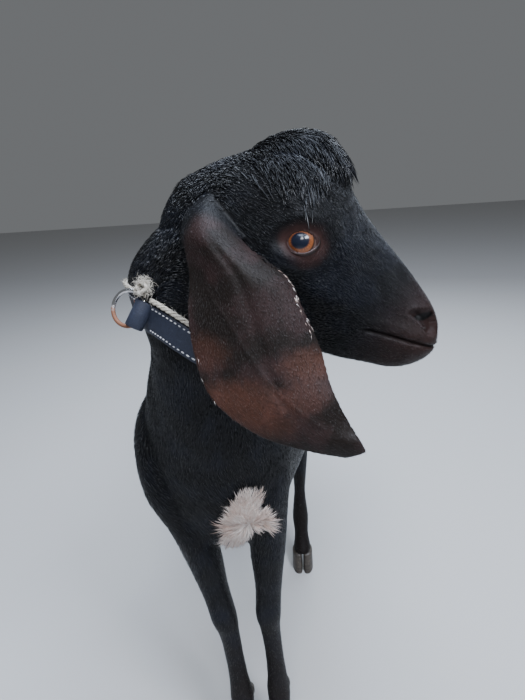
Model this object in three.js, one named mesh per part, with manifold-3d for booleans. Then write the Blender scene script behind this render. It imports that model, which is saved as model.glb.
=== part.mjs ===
// A Nubian goat kid standing in a leather collar, as a still life-size model.
// Millimetres, +Z up, floor at Z = 0. The goat faces -Y and its own left is +X.
// Flesh is modelled whole, then parted with thin cuts into named nodes.

import * as THREE from 'three';
import { mergeVertices } from 'three/addons/utils/BufferGeometryUtils.js';
import Module from 'manifold-3d';

const wasm = await Module();
wasm.setup();
const { Manifold, Mesh: SolidMesh } = wasm;

// Driving dimensions of the animal, worked out from the photo and the breed.
const GAP = 0.3;                 // air kept between nodes that touch
const SEAM_Z = 30;               // height of the parting between a leg and its hoof
const ELBOW_Z = 286;             // height of the parting between a foreleg and the torso
const STIFLE_Z = 292;            // height of the parting between a hind leg and the torso
const EYE_RADIUS = 15;
const COLLAR_WIDTH = 24;
const COLLAR_THICKNESS = 3.2;
const RING_RADIUS = 15.5;        // middle of the wire
const RING_WIRE = 1.9;

// The head has a frame of its own: X runs out along the muzzle, Y to the goat's
// left and Z up through the brow. It is pitched down and turned to the left.
const HEAD_ORIGIN = new THREE.Vector3(19.7, -11.9, 695.1);
const MUZZLE_WAY = new THREE.Vector3(0.796, -0.258, -0.548).normalize();
const LEFT_HINT = new THREE.Vector3(0.206, 0.966, -0.156);
const BROW_WAY = new THREE.Vector3().crossVectors(MUZZLE_WAY, LEFT_HINT).normalize();
const LEFT_WAY = new THREE.Vector3().crossVectors(BROW_WAY, MUZZLE_WAY).normalize();
const HEAD_MATRIX = new THREE.Matrix4().makeBasis(MUZZLE_WAY, LEFT_WAY, BROW_WAY).setPosition(HEAD_ORIGIN);

// Materials, with colours read from the photo.
const finish = (color, roughness, metalness = 0) =>
  new THREE.MeshStandardMaterial({ color, roughness, metalness });
const COAT = finish(0x15151a, 0.55);
const EAR_SKIN = finish(0x241714, 0.6);
const HORN = finish(0x1d1a18, 0.45);
const EYE = finish(0x7a3d14, 0.08);
const STRAP = finish(0x2a3044, 0.7);
const STEEL = finish(0x8a8580, 0.4, 1);
const CORD = finish(0x8f8676, 0.95);

// Small helpers.
const v = (x, y, z) => new THREE.Vector3(x, y, z);
const mix = (a, b, t) => a + (b - a) * t;
const bump = (distance, reach) => Math.exp(-(distance * distance) / (reach * reach));
const curve = (points) => new THREE.CatmullRomCurve3(points, false, 'catmullrom', 0.5);

// Joins rings of equal count into one closed skin, with a fan over each end.
function loft(rings) {
  const count = rings[0].length;
  const positions = [];
  const index = [];
  rings.forEach((ring) => ring.forEach((p) => positions.push(p.x, p.y, p.z)));
  for (let r = 0; r < rings.length - 1; r += 1) {
    for (let c = 0; c < count; c += 1) {
      const a = r * count + c;
      const b = r * count + ((c + 1) % count);
      index.push(a, b, b + count, a, b + count, a + count);
    }
  }
  [0, rings.length - 1].forEach((r) => {
    const middle = rings[r].reduce((sum, p) => sum.add(p), v(0, 0, 0)).divideScalar(count);
    const hub = positions.length / 3;
    positions.push(middle.x, middle.y, middle.z);
    for (let c = 0; c < count; c += 1) {
      const a = r * count + c;
      const b = r * count + ((c + 1) % count);
      index.push(...(r === 0 ? [hub, b, a] : [hub, a, b]));
    }
  });
  const geometry = new THREE.BufferGeometry();
  geometry.setAttribute('position', new THREE.Float32BufferAttribute(positions, 3));
  geometry.setIndex(index);
  return geometry;
}

// Turns a three.js geometry into a solid that manifold-3d can join and cut.
function solid(geometry) {
  const bare = new THREE.BufferGeometry();
  bare.setAttribute('position', geometry.getAttribute('position').clone());
  if (geometry.index) bare.setIndex(geometry.index.clone());
  const merged = mergeVertices(bare, 1e-4);
  const body = new Manifold(new SolidMesh({
    numProp: 3,
    vertProperties: new Float32Array(merged.getAttribute('position').array),
    triVerts: new Uint32Array(merged.index.array),
  }));
  if (body.volume() >= 0) return body;
  const turned = new Uint32Array(merged.index.array);
  for (let i = 0; i < turned.length; i += 3) [turned[i], turned[i + 1]] = [turned[i + 1], turned[i]];
  return new Manifold(new SolidMesh({
    numProp: 3,
    vertProperties: new Float32Array(merged.getAttribute('position').array),
    triVerts: turned,
  }));
}

const placedSolid = (geometry, matrix) => solid(geometry.clone().applyMatrix4(matrix));

// The largest closed surface of a solid, so that a node is always one body.
function largest(body) {
  return body.decompose().reduce((best, piece) => (piece.volume() > best.volume() ? piece : best));
}

function node(name, body, material) {
  const data = largest(body).getMesh();
  const stride = data.numProp;
  const positions = [];
  for (let i = 0; i < data.vertProperties.length; i += stride) {
    positions.push(data.vertProperties[i], data.vertProperties[i + 1], data.vertProperties[i + 2]);
  }
  const geometry = new THREE.BufferGeometry();
  geometry.setAttribute('position', new THREE.Float32BufferAttribute(positions, 3));
  geometry.setIndex([...data.triVerts]);
  geometry.computeVertexNormals();
  const mesh = new THREE.Mesh(geometry, material);
  mesh.name = name;
  return mesh;
}

// One rounded section: half is the half width across, rise and drop are the
// heights above and below the widest level, and full squares the outline off.
// Phase turns the places of the points round the same outline.
function section(centre, across, up, half, rise, drop, full, count, phase = 0) {
  const points = [];
  for (let i = 0; i < count; i += 1) {
    const angle = (2 * Math.PI * i) / count + phase;
    const c = Math.cos(angle);
    const s = Math.sin(angle);
    const side = Math.sign(c) * Math.abs(c) ** (2 / full) * half;
    const lift = Math.sign(s) * Math.abs(s) ** (2 / full) * (s > 0 ? rise : drop);
    points.push(centre.clone().addScaledVector(across, side).addScaledVector(up, lift));
  }
  return points;
}

// Trunk and neck: one loft from the rump to the back of the head. Each station
// gives a point on the back, the point under it on the belly or throat, the
// half width, how far up from the belly the widest level lies, and by how many
// degrees the neck has turned there towards the goat's left.
const TRUNK = [
  { at: 'rump end', back: v(10, 546, 512), belly: v(10, 540, 470), half: 20, widest: 0.5 },
  { at: 'pin bones', back: v(10, 536, 538), belly: v(10, 536, 430), half: 44, widest: 0.55 },
  { at: 'croup', back: v(9, 508, 562), belly: v(9, 514, 396), half: 60, widest: 0.6 },
  { at: 'hips', back: v(7, 455, 582), belly: v(7, 465, 368), half: 70, widest: 0.6 },
  { at: 'loin', back: v(4, 390, 590), belly: v(4, 402, 342), half: 76, widest: 0.5 },
  { at: 'flank', back: v(0, 320, 586), belly: v(0, 328, 314), half: 88, widest: 0.42 },
  { at: 'belly', back: v(-5, 245, 578), belly: v(-5, 250, 296), half: 96, widest: 0.4 },
  { at: 'ribs', back: v(-11, 170, 574), belly: v(-11, 172, 290), half: 95, widest: 0.4 },
  { at: 'girth', back: v(-17, 105, 577), belly: v(-17, 98, 294), half: 86, widest: 0.42 },
  { at: 'withers', back: v(-22, 60, 581), belly: v(-22, 36, 300), half: 78, widest: 0.45 },
  { at: 'shoulders', back: v(-26, 36, 583), belly: v(-22, 8, 316), half: 76, widest: 0.45 },
  { at: 'chest', back: v(-28, 24, 587), belly: v(-19, -15, 348), half: 71, widest: 0.45 },
  { at: 'neck base', back: v(-31, 24, 594), belly: v(-16, -34, 404), half: 62, widest: 0.48 },
  { at: 'low neck', back: v(-37, 30, 603), belly: v(-13, -48, 470), half: 51, widest: 0.5 },
  { at: 'mid neck', back: v(-49, 31, 612), belly: v(-7, -54, 525), half: 43, widest: 0.5, turn: 10 },
  { at: 'under the collar', back: v(-66, 22, 620), belly: v(3, -54, 556), half: 40, widest: 0.5, turn: 30 },
  { at: 'collar', back: v(-77, 9, 632), belly: v(13, -48, 580), half: 38, widest: 0.5, turn: 52 },
  { at: 'high neck', back: v(-69, 1, 653), belly: v(20, -40, 607), half: 38, widest: 0.5, turn: 67 },
  { at: 'throat', back: v(-46, -1, 676), belly: v(25, -31, 634), half: 38, widest: 0.5, turn: 75 },
  { at: 'nape', back: v(-23, -2, 694), belly: v(30, -25, 658), half: 37, widest: 0.5, turn: 78 },
  { at: 'inside the head', back: v(2, -4, 703), belly: v(36, -20, 680), half: 26, widest: 0.5, turn: 78 },
];
const TRUNK_BACK = curve(TRUNK.map((s) => s.back));
const TRUNK_BELLY = curve(TRUNK.map((s) => s.belly));
const TRUNK_SIZE = curve(TRUNK.map((s) => v(s.half, s.widest, THREE.MathUtils.degToRad(s.turn ?? 0))));
const station = (name) => TRUNK.findIndex((s) => s.at === name) / (TRUNK.length - 1);

// The plane of the trunk's section at t: its centre and three directions.
function trunkFrame(t) {
  const back = TRUNK_BACK.getPoint(t);
  const belly = TRUNK_BELLY.getPoint(t);
  const size = TRUNK_SIZE.getPoint(t);
  const up = back.clone().sub(belly);
  const height = up.length();
  up.normalize();
  const across = v(Math.cos(size.z), Math.sin(size.z), 0).projectOnPlane(up).normalize();
  return { centre: mixPoint(belly, back, size.y), up, across, height, half: size.x, widest: size.y, turn: size.z };
}

function mixPoint(a, b, t) {
  return a.clone().lerp(b, t);
}

function trunkRing(t, grow, count) {
  const f = trunkFrame(t);
  const rise = f.height * (1 - f.widest) + grow;
  const drop = f.height * f.widest + grow;
  return section(f.centre, f.across, f.up, f.half + grow, rise, drop, 2.15, count, -f.turn);
}

function trunkLoft(from, to, grow = 0, count = 28, density = 46) {
  const rings = [];
  const steps = Math.max(2, Math.round((to - from) * density));
  for (let i = 0; i <= steps; i += 1) rings.push(trunkRing(mix(from, to, i / steps), grow, count));
  return loft(rings);
}

// Legs: level sections from the top down, each with its centre and half sizes.
const FORELEG = [
  { at: 'shoulder blade', y: 56, z: 512, x: 42, wide: 14, deep: 26 },
  { at: 'shoulder', y: 40, z: 460, x: 54, wide: 27, deep: 44 },
  { at: 'upper arm', y: 26, z: 400, x: 51, wide: 27, deep: 45 },
  { at: 'elbow', y: 24, z: 345, x: 45, wide: 23, deep: 37 },
  { at: 'forearm', y: 18, z: 300, x: 38, wide: 21, deep: 27 },
  { at: 'lower forearm', y: 12, z: 255, x: 32.5, wide: 17, deep: 20 },
  { at: 'knee', y: 7, z: 215, x: 27, wide: 15.5, deep: 18 },
  { at: 'under the knee', y: 8, z: 188, x: 25.5, wide: 13.2, deep: 14.5 },
  { at: 'cannon', y: 9, z: 145, x: 25, wide: 12.6, deep: 13.5 },
  { at: 'low cannon', y: 7, z: 108, x: 24.5, wide: 13.4, deep: 15 },
  { at: 'fetlock', y: 5, z: 84, x: 24, wide: 15.8, deep: 17.5 },
  { at: 'pastern', y: -3, z: 58, x: 24, wide: 14.2, deep: 15.5 },
  { at: 'coronet', y: -11, z: 36, x: 24, wide: 17, deep: 19.5 },
  { at: 'seam', y: -13, z: SEAM_Z, x: 24, wide: 17.2, deep: 20 },
];
const HIND_LEG = [
  { at: 'croup', y: 470, z: 545, x: 34, wide: 14, deep: 40 },
  { at: 'hip', y: 462, z: 500, x: 44, wide: 30, deep: 62 },
  { at: 'thigh', y: 452, z: 440, x: 50, wide: 35, deep: 72 },
  { at: 'low thigh', y: 432, z: 385, x: 56, wide: 32, deep: 64 },
  { at: 'stifle', y: 414, z: 335, x: 60, wide: 27, deep: 48 },
  { at: 'gaskin', y: 414, z: 285, x: 60, wide: 21, deep: 33 },
  { at: 'low gaskin', y: 424, z: 235, x: 57, wide: 15.5, deep: 24 },
  { at: 'hock', y: 432, z: 192, x: 54, wide: 15, deep: 23 },
  { at: 'under the hock', y: 428, z: 160, x: 52, wide: 13, deep: 17.5 },
  { at: 'cannon', y: 422, z: 122, x: 50, wide: 12, deep: 14.5 },
  { at: 'fetlock', y: 414, z: 84, x: 49, wide: 15.5, deep: 17.5 },
  { at: 'pastern', y: 404, z: 58, x: 49, wide: 13.5, deep: 15.5 },
  { at: 'coronet', y: 396, z: 36, x: 49, wide: 16.5, deep: 19.5 },
  { at: 'seam', y: 394, z: SEAM_Z, x: 49, wide: 16.5, deep: 20 },
];

// Each leg: its stations, its side, how far its foot stands from square, and how
// far a loaded shoulder is pushed out.
const SHOULDER_LEVEL = { z: 432, reach: 62 };
const LEGS = [
  { name: 'foreleg_left', rows: FORELEG, side: 1, footX: 0, footY: 8, rootX: -27, rootZ: 400 },
  { name: 'foreleg_right', rows: FORELEG, side: -1, footX: 2, footY: -4, rootX: -27, rootZ: 400, shoulder: 8 },
  { name: 'hind_leg_left', rows: HIND_LEG, side: 1, footX: 10, footY: -72, rootX: 6, rootZ: 500 },
  { name: 'hind_leg_right', rows: HIND_LEG, side: -1, footX: -8, footY: 22, rootX: 6, rootZ: 500 },
];

// Where one station of a leg stands, once its foot has been moved: the shift
// grows from none at the top of the leg to the full step at the floor.
function legStation(leg, row) {
  const low = 1 - Math.min(1, row.z / leg.rows[1].z);
  const rootShare = Math.min(1, row.z / leg.rootZ) ** 1.6;
  const bulge = (leg.shoulder ?? 0) * bump(row.z - SHOULDER_LEVEL.z, SHOULDER_LEVEL.reach);
  const x = leg.side * (row.x + bulge) + leg.footX * low + leg.rootX * rootShare;
  return v(x, row.y + leg.footY * low, row.z);
}

function legLoft(leg, count = 12, steps = 28) {
  const centres = curve(leg.rows.map((row) => legStation(leg, row)));
  const sizes = curve(leg.rows.map((row) => v(row.wide, row.deep, 0)));
  const rings = [];
  for (let i = 0; i <= steps; i += 1) {
    const size = sizes.getPoint(i / steps);
    const centre = centres.getPoint(i / steps);
    rings.push(section(centre, v(1, 0, 0), v(0, 1, 0), size.x, size.y, size.y, 2.1, count));
  }
  return loft(rings);
}

// A cloven hoof: two claws, each a flat-soled block that leans forward at the toe.
const CLAW = { long: 23, wide: 8.6, topLong: 17, topWide: 8.2, lean: 9, split: 10.4 };

function clawGeometry(side) {
  const rings = [];
  const steps = 3;
  for (let i = 0; i <= steps; i += 1) {
    const t = i / steps;
    const z = mix(0, SEAM_Z - GAP, t);
    const centre = v(0, mix(-CLAW.lean, 0, t), z);
    const half = mix(CLAW.wide, CLAW.topWide, t);
    const long = mix(CLAW.long, CLAW.topLong, t ** 0.8);
    const ring = section(centre, v(1, 0, 0), v(0, 1, 0), half, long * 0.92, long, 2.5, 12);
    ring.forEach((p) => {
      const toe = Math.max(0, (centre.y - p.y) / long);
      p.x -= side * 2.6 * toe * toe;
    });
    rings.push(ring);
  }
  return loft(rings);
}

// Dewclaws: a pair of small blunt horns behind the fetlock.
function dewclawGeometry() {
  const rings = [];
  const rows = [[0, 6.2], [7, 5.4], [13, 2.4]];
  rows.forEach(([out, half]) => {
    rings.push(section(v(0, out - 5, -out * 0.45), v(1, 0, 0), v(0, 0.35, 1).normalize(), half, half * 1.15, half * 1.15, 2, 6));
  });
  return loft(rings);
}

// Head: upright sections along the muzzle, from the back of the skull to the lips.
const HEAD = [
  { at: 'occiput', x: -46, top: -8, under: -44, half: 12, widest: 0.5 },
  { at: 'nape', x: -38, top: 3, under: -62, half: 27, widest: 0.5 },
  { at: 'ear root', x: -20, top: 26, under: -76, half: 38, widest: 0.54 },
  { at: 'poll', x: 4, top: 49, under: -84, half: 44, widest: 0.56 },
  { at: 'crown', x: 30, top: 68, under: -87, half: 47, widest: 0.57 },
  { at: 'forehead', x: 55, top: 68, under: -86, half: 48, widest: 0.57 },
  { at: 'eyes', x: 77, top: 58, under: -82, half: 46, widest: 0.58 },
  { at: 'stop', x: 98, top: 47.5, under: -77, half: 40, widest: 0.52 },
  { at: 'cheek front', x: 120, top: 39.5, under: -70, half: 34, widest: 0.48 },
  { at: 'nose bridge', x: 145, top: 32, under: -62, half: 29, widest: 0.46 },
  { at: 'muzzle', x: 167, top: 24, under: -52.5, half: 26, widest: 0.46 },
  { at: 'nostrils', x: 183, top: 17, under: -45.5, half: 25, widest: 0.48 },
  { at: 'nose', x: 195, top: 8.5, under: -36, half: 22, widest: 0.5 },
  { at: 'lips', x: 202, top: -1.5, under: -25, half: 15.5, widest: 0.5 },
  { at: 'lip front', x: 205, top: -8, under: -17, half: 7, widest: 0.5 },
];
const HEAD_PLACE = curve(HEAD.map((s) => v(s.x, s.top, s.under)));
const HEAD_SIZE = curve(HEAD.map((s) => v(s.half, s.widest, 0)));
const EYE_AT = v(75, 33.5, 4.2);      // of the left eye; the right one is mirrored
const EYE_TILT = 0.7;                   // the eye's slit keeps nearly level as the head dips

// Soft forms laid over the plain head: brow ridge, socket, cheek, lips and nostril wings.
function headRelief(p) {
  const side = Math.sign(p.y) || 1;
  const out = v(0, side, 0);
  const fromEye = Math.hypot(p.x - EYE_AT.x, p.z - EYE_AT.z);
  const flank = Math.min(1, Math.abs(p.y) / 18);
  let push = 4.2 * bump(fromEye, 24) * flank;
  push += 3.6 * bump(Math.hypot((p.x - 70) / 1.5, p.z - 27), 13) * flank;
  push -= 3.2 * bump(Math.hypot(p.x - 104, p.z - 2), 13) * flank;
  push += 3 * bump(Math.hypot((p.x - 104) / 2.4, p.z + 18), 11) * flank;
  push += 3.4 * bump(Math.hypot(p.x - 58, p.z + 44), 27) * flank;
  push -= 2 * bump(Math.hypot(p.x - 124, p.z + 34), 13) * flank;
  push += 2.2 * bump(Math.hypot(p.x - 184, p.z - 7), 9) * flank;
  const lip = mouthLevel(p.x);
  const reach = bump(Math.max(0, 150 - p.x), 12);
  push += 1.8 * bump(p.z - (lip + 7), 5) * reach * flank;
  push += 1.4 * bump(p.z - (lip - 8), 5) * reach * flank;
  return p.clone().addScaledVector(out, push);
}

// Height of the parting between the lips, along the muzzle.
function mouthLevel(x) {
  return mix(-26, -8, THREE.MathUtils.clamp((x - 150) / 56, 0, 1) ** 0.9);
}

function headLoft() {
  const rings = [];
  const steps = 42;
  for (let i = 0; i <= steps; i += 1) {
    const place = HEAD_PLACE.getPoint(i / steps);
    const size = HEAD_SIZE.getPoint(i / steps);
    const height = place.y - place.z;
    const centre = v(place.x, 0, place.z + height * size.y);
    const ring = section(centre, v(0, 1, 0), v(0, 0, 1), size.x, height * (1 - size.y), height * size.y, 2.2, 30);
    rings.push(ring.map(headRelief));
  }
  return loft(rings);
}

const IN_HEAD = (x, y, z) => new THREE.Matrix4().makeTranslation(x, y, z);

function ballGeometry(radius, across = 14, down = 9) {
  return new THREE.SphereGeometry(radius, across, down);
}

// The lids: a cap over the eyeball, opened by a lens-shaped slit.
function lidSolid(side) {
  const lidRadius = EYE_RADIUS + 2.4;
  const cap = placedSolid(ballGeometry(lidRadius), IN_HEAD(EYE_AT.x, side * EYE_AT.y, EYE_AT.z));
  const opening = slitSolid(side);
  return cap.subtract(opening);
}

// A lens-shaped prism that opens the lids, pointing out of the socket.
function slitSolid(side) {
  const half = { long: 14.5, upper: 9.2, lower: 7.4 };
  const shape = new THREE.Shape();
  shape.moveTo(-half.long, 0);
  shape.quadraticCurveTo(-half.long * 0.45, half.upper * 1.35, 2, half.upper);
  shape.quadraticCurveTo(half.long * 0.62, half.upper * 0.85, half.long, -1.5);
  shape.quadraticCurveTo(half.long * 0.5, -half.lower * 1.15, 0, -half.lower);
  shape.quadraticCurveTo(-half.long * 0.6, -half.lower, -half.long, 0);
  const prism = new THREE.ExtrudeGeometry(shape, { depth: 30, bevelEnabled: false, curveSegments: 6 });
  const lean = new THREE.Matrix4().makeRotationX(-side * Math.PI / 2);
  const tilt = new THREE.Matrix4().makeRotationY(-EYE_TILT);
  const place = IN_HEAD(EYE_AT.x, side * EYE_AT.y, EYE_AT.z);
  const upright = side > 0 ? new THREE.Matrix4().makeScale(1, -1, 1) : new THREE.Matrix4();
  return placedSolid(prism, place.multiply(tilt).multiply(lean).multiply(upright));
}

// The mouth: a thin blade swept along the lip line of both cheeks.
function mouthSolid() {
  const rings = [];
  const steps = 16;
  for (let i = 0; i <= steps; i += 1) {
    const x = mix(149, 212, i / steps);
    const level = mouthLevel(x);
    const half = 34;
    const thick = mix(0.35, 0.9, Math.min(1, i / 4));
    rings.push([v(x, half, level - thick), v(x, half, level + thick), v(x, -half, level + thick), v(x, -half, level - thick)]);
  }
  const blade = solid(loft(rings));
  const core = solid(loft(headCore()));
  return blade.subtract(core);
}

// The inside of the muzzle, so that the mouth is only a shallow groove.
function headCore() {
  const rings = [];
  for (let i = 0; i <= 30; i += 1) {
    const t = mix(0.5, 0.985, i / 30);
    const place = HEAD_PLACE.getPoint(t);
    const size = HEAD_SIZE.getPoint(t);
    const height = place.y - place.z;
    const centre = v(place.x - 3.2, 0, place.z + height * size.y);
    rings.push(section(centre, v(0, 1, 0), v(0, 0, 1), Math.max(2, size.x - 1.6), height * (1 - size.y), height * size.y, 2.2, 24));
  }
  return rings;
}

// One nostril: a comma-shaped hollow, wide in front and trailing off behind.
function nostrilSolid(side) {
  const rows = [
    { x: 173, y: 25, z: 5.5, half: 0.9, tall: 1.2 },
    { x: 178, y: 24, z: 7, half: 2.4, tall: 2.2 },
    { x: 184, y: 22.5, z: 7.2, half: 3.4, tall: 3.2 },
    { x: 190, y: 19.5, z: 5.4, half: 3.6, tall: 3.6 },
    { x: 195, y: 17, z: 2.2, half: 2.6, tall: 2.8 },
  ];
  return solid(loft(rows.map((row) => {
    const centre = v(row.x, side * row.y, row.z);
    return section(centre, v(0, 1, 0), v(-0.3, 0, 1).normalize(), row.half, row.tall, row.tall, 2, 12);
  })));
}

// Ears: a long drooping leaf between a front and a back edge, cupped at its root.
const EAR = [
  { front: v(-6, -30, 10), back: v(-14, -30, -8), cup: 3, thick: 9 },
  { front: v(8, -37, -3), back: v(-19, -37, -22), cup: 9, thick: 8 },
  { front: v(30, -47, -13), back: v(-10, -48, -40), cup: 17, thick: 5.5 },
  { front: v(56, -53, -17), back: v(2, -54, -48), cup: 19, thick: 4 },
  { front: v(82, -56, -20), back: v(17, -62, -61), cup: 17, thick: 3.2 },
  { front: v(104, -57, -32), back: v(32, -70, -80), cup: 14, thick: 2.8 },
  { front: v(129, -60, -48), back: v(51, -76, -102), cup: 11, thick: 2.5 },
  { front: v(149, -63, -64), back: v(72, -80, -118), cup: 9, thick: 2.3 },
  { front: v(168, -66, -76), back: v(100, -82, -127), cup: 7, thick: 2.2 },
  { front: v(185, -67, -85), back: v(133, -79, -128), cup: 5, thick: 2.1 },
  { front: v(196, -67, -89), back: v(168, -72, -117), cup: 3, thick: 2 },
  { front: v(203, -66, -94), back: v(193, -66, -108), cup: 1, thick: 1.8 },
];
const EAR_FRONT = curve(EAR.map((row) => row.front));
const EAR_BACK = curve(EAR.map((row) => row.back));
const EAR_SIZE = curve(EAR.map((row) => v(row.cup, row.thick, 0)));
const FAR_EAR_SWING = 0.2;       // the far ear hangs nearer to plumb than the near one

function earGeometry(side) {
  const rings = [];
  const steps = 22;
  const across = 5;
  for (let i = 0; i <= steps; i += 1) {
    const t = i / steps;
    const front = EAR_FRONT.getPoint(t);
    const back = EAR_BACK.getPoint(t);
    const size = EAR_SIZE.getPoint(t);
    const outer = [];
    const inner = [];
    for (let j = 0; j <= across; j += 1) {
      const u = j / across;
      const arch = Math.sin(Math.PI * u ** 0.8);
      const skin = mixPoint(front, back, u);
      const thin = size.y * (0.35 + 0.65 * Math.sin(Math.PI * u));
      skin.y -= size.x * arch;
      outer.push(skin.clone().add(v(0, -thin / 2, 0)));
      inner.unshift(skin.clone().add(v(0, thin / 2, 0)));
    }
    rings.push([...outer, ...inner]);
  }
  const geometry = loft(rings);
  if (side > 0) {
    geometry.applyMatrix4(new THREE.Matrix4().makeScale(1, -1, 1));
    const hinge = v(-6, 36, -16);
    geometry.translate(-hinge.x, -hinge.y, -hinge.z);
    geometry.rotateY(FAR_EAR_SWING);
    geometry.translate(hinge.x, hinge.y, hinge.z);
  }
  return geometry;
}

// The far ear is pushed off the shoulder that it lies against: points inside a
// roomy ellipsoid round the shoulder move out along its radius.
const SHOULDER_BALL = { centre: v(-25, 62, 470), reach: v(98, 128, 134) };

function drapeOverShoulder(geometry) {
  const place = geometry.getAttribute('position');
  const p = v(0, 0, 0);
  for (let i = 0; i < place.count; i += 1) {
    p.fromBufferAttribute(place, i).sub(SHOULDER_BALL.centre).divide(SHOULDER_BALL.reach);
    const r = p.length();
    if (r < 1) p.multiplyScalar(2 - r);
    p.multiply(SHOULDER_BALL.reach).add(SHOULDER_BALL.centre);
    place.setXYZ(i, p.x, p.y, p.z);
  }
  return geometry;
}

// Long hair is built here as plain forms out to its tips. Over the poll it is one
// smooth hump, low behind and steep at the brow.
const FORELOCK = [
  { x: -12, half: 8, z: 28, tall: 8 },
  { x: 0, half: 20, z: 39, tall: 17 },
  { x: 14, half: 27, z: 50, tall: 22 },
  { x: 30, half: 30, z: 57, tall: 24.5 },
  { x: 46, half: 30, z: 58, tall: 24.5 },
  { x: 61, half: 27, z: 55, tall: 23 },
  { x: 73, half: 19, z: 51, tall: 19 },
  { x: 81, half: 8, z: 46, tall: 11 },
];

function forelock() {
  const rows = curve(FORELOCK.map((row) => v(row.x, row.half, row.tall)));
  const levels = curve(FORELOCK.map((row) => v(row.z, 0, 0)));
  const rings = [];
  const steps = 14;
  for (let i = 0; i <= steps; i += 1) {
    const row = rows.getPoint(i / steps);
    const level = levels.getPoint(i / steps).x;
    rings.push(section(v(row.x, 0, level), v(0, 1, 0), v(0, 0, 1), row.y, row.z, row.z, 2, 18));
  }
  return solid(loft(rings));
}

// Pale hair on the brisket, in a pad that leans and hangs a little forward.
function brisketTuft() {
  const pad = new THREE.SphereGeometry(1, 18, 12);
  pad.applyMatrix4(new THREE.Matrix4().makeScale(27, 12, 52));
  pad.rotateY(0.4);
  pad.rotateX(0.15);
  pad.translate(4, -16, 376);
  return solid(pad);
}

const TAIL = [
  { at: v(8, 512, 552), half: 16, tall: 14 },
  { at: v(8, 536, 560), half: 15, tall: 12 },
  { at: v(9, 562, 560), half: 15, tall: 10 },
  { at: v(10, 584, 545), half: 17, tall: 10 },
  { at: v(11, 597, 516), half: 18, tall: 10 },
  { at: v(12, 602, 484), half: 15, tall: 9 },
  { at: v(12, 602, 458), half: 7, tall: 5 },
];

// The tail: a flat, down-hung loft out to the tips of its hair.
function tailSolid() {
  const path = curve(TAIL.map((row) => row.at));
  const sizes = curve(TAIL.map((row) => v(row.half, row.tall, 0)));
  const rings = [];
  const steps = 18;
  for (let i = 0; i <= steps; i += 1) {
    const t = i / steps;
    const along = path.getTangent(t);
    const up = new THREE.Vector3().crossVectors(along, v(1, 0, 0)).normalize().negate();
    const size = sizes.getPoint(t);
    rings.push(section(path.getPoint(t), v(1, 0, 0), up, size.x, size.y, size.y, 2, 12));
  }
  return solid(loft(rings));
}

// Collar: a leather strap round the neck, in a plane of its own. Each place on it
// is found where a line along the neck crosses that plane, then moved outwards.
const COLLAR_POINT = v(-44, -24, 590);
const COLLAR_WAY = v(0.5, 0.24, 0.83).normalize();        // the strap's width, on the near side
const COLLAR_FAR_WAY = v(0.47, -0.08, 0.87).normalize();   // and on the far side, clear of the withers
const NECK_SPAN = [station('neck base'), station('nape')];
const STRAP_GRID = [22, 24];     // sides, and rings for the loft's whole length
const NECK_GRID = [24, 44];

// The collar's own angles go round the middle of the neck, from the goat's left.
const COLLAR_FRAME = trunkFrame(station('collar'));
const COLLAR_RIGHT = COLLAR_FRAME.across.clone().projectOnPlane(COLLAR_WAY).normalize();
const COLLAR_UP = new THREE.Vector3().crossVectors(COLLAR_WAY, COLLAR_RIGHT);
if (COLLAR_UP.dot(COLLAR_FRAME.up) < 0) COLLAR_UP.negate();

// A place in the collar's slanted slice, at an angle, a distance and a shift along the neck.
function slicePoint(angle, radius, shift) {
  const way = COLLAR_WAY.clone().lerp(COLLAR_FAR_WAY, (1 + Math.cos(angle)) / 2).normalize();
  const p = COLLAR_FRAME.centre.clone()
    .addScaledVector(COLLAR_RIGHT, radius * Math.cos(angle))
    .addScaledVector(COLLAR_UP, radius * Math.sin(angle));
  const rise = (shift - p.clone().sub(COLLAR_POINT).dot(way)) / COLLAR_WAY.dot(way);
  return p.addScaledVector(COLLAR_WAY, rise);
}

// Where the slice meets the neck's skin, then moved outwards.
const NECK_SKIN = new THREE.Mesh(
  trunkLoft(NECK_SPAN[0], NECK_SPAN[1], 0, ...STRAP_GRID),
  new THREE.MeshBasicMaterial({ side: THREE.DoubleSide }),
);
function neckPoint(angle, shift, out) {
  const from = slicePoint(angle, 0, shift);
  const outward = slicePoint(angle, 1, shift).sub(from).normalize();
  const hits = new THREE.Raycaster(from, outward).intersectObject(NECK_SKIN);
  return hits[0].point.clone().addScaledVector(outward, out);
}

// The strap's slice of space: a ring-shaped sheet from near the middle of the neck
// to well outside it.
const SLICE_IN = 7;
const SLICE_OUT = 90;
function collarSlice(half) {
  const count = 24;
  const positions = [];
  const index = [];
  const flip = new THREE.Vector3().crossVectors(COLLAR_RIGHT, COLLAR_UP).dot(COLLAR_WAY) < 0;
  for (let i = 0; i < count; i += 1) {
    const angle = (2 * Math.PI * i) / count;
    [[-half, SLICE_IN], [-half, SLICE_OUT], [half, SLICE_OUT], [half, SLICE_IN]].forEach(([shift, radius]) => {
      const p = slicePoint(angle, radius, shift);
      positions.push(p.x, p.y, p.z);
    });
    for (let k = 0; k < 4; k += 1) {
      const a = 4 * i + k;
      const b = 4 * i + ((k + 1) % 4);
      const c = 4 * ((i + 1) % count) + ((k + 1) % 4);
      const d = 4 * ((i + 1) % count) + k;
      if (flip) index.push(a, b, c, a, c, d);
      else index.push(a, c, b, a, d, c);
    }
  }
  const geometry = new THREE.BufferGeometry();
  geometry.setAttribute('position', new THREE.Float32BufferAttribute(positions, 3));
  geometry.setIndex(index);
  return solid(geometry);
}

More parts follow.
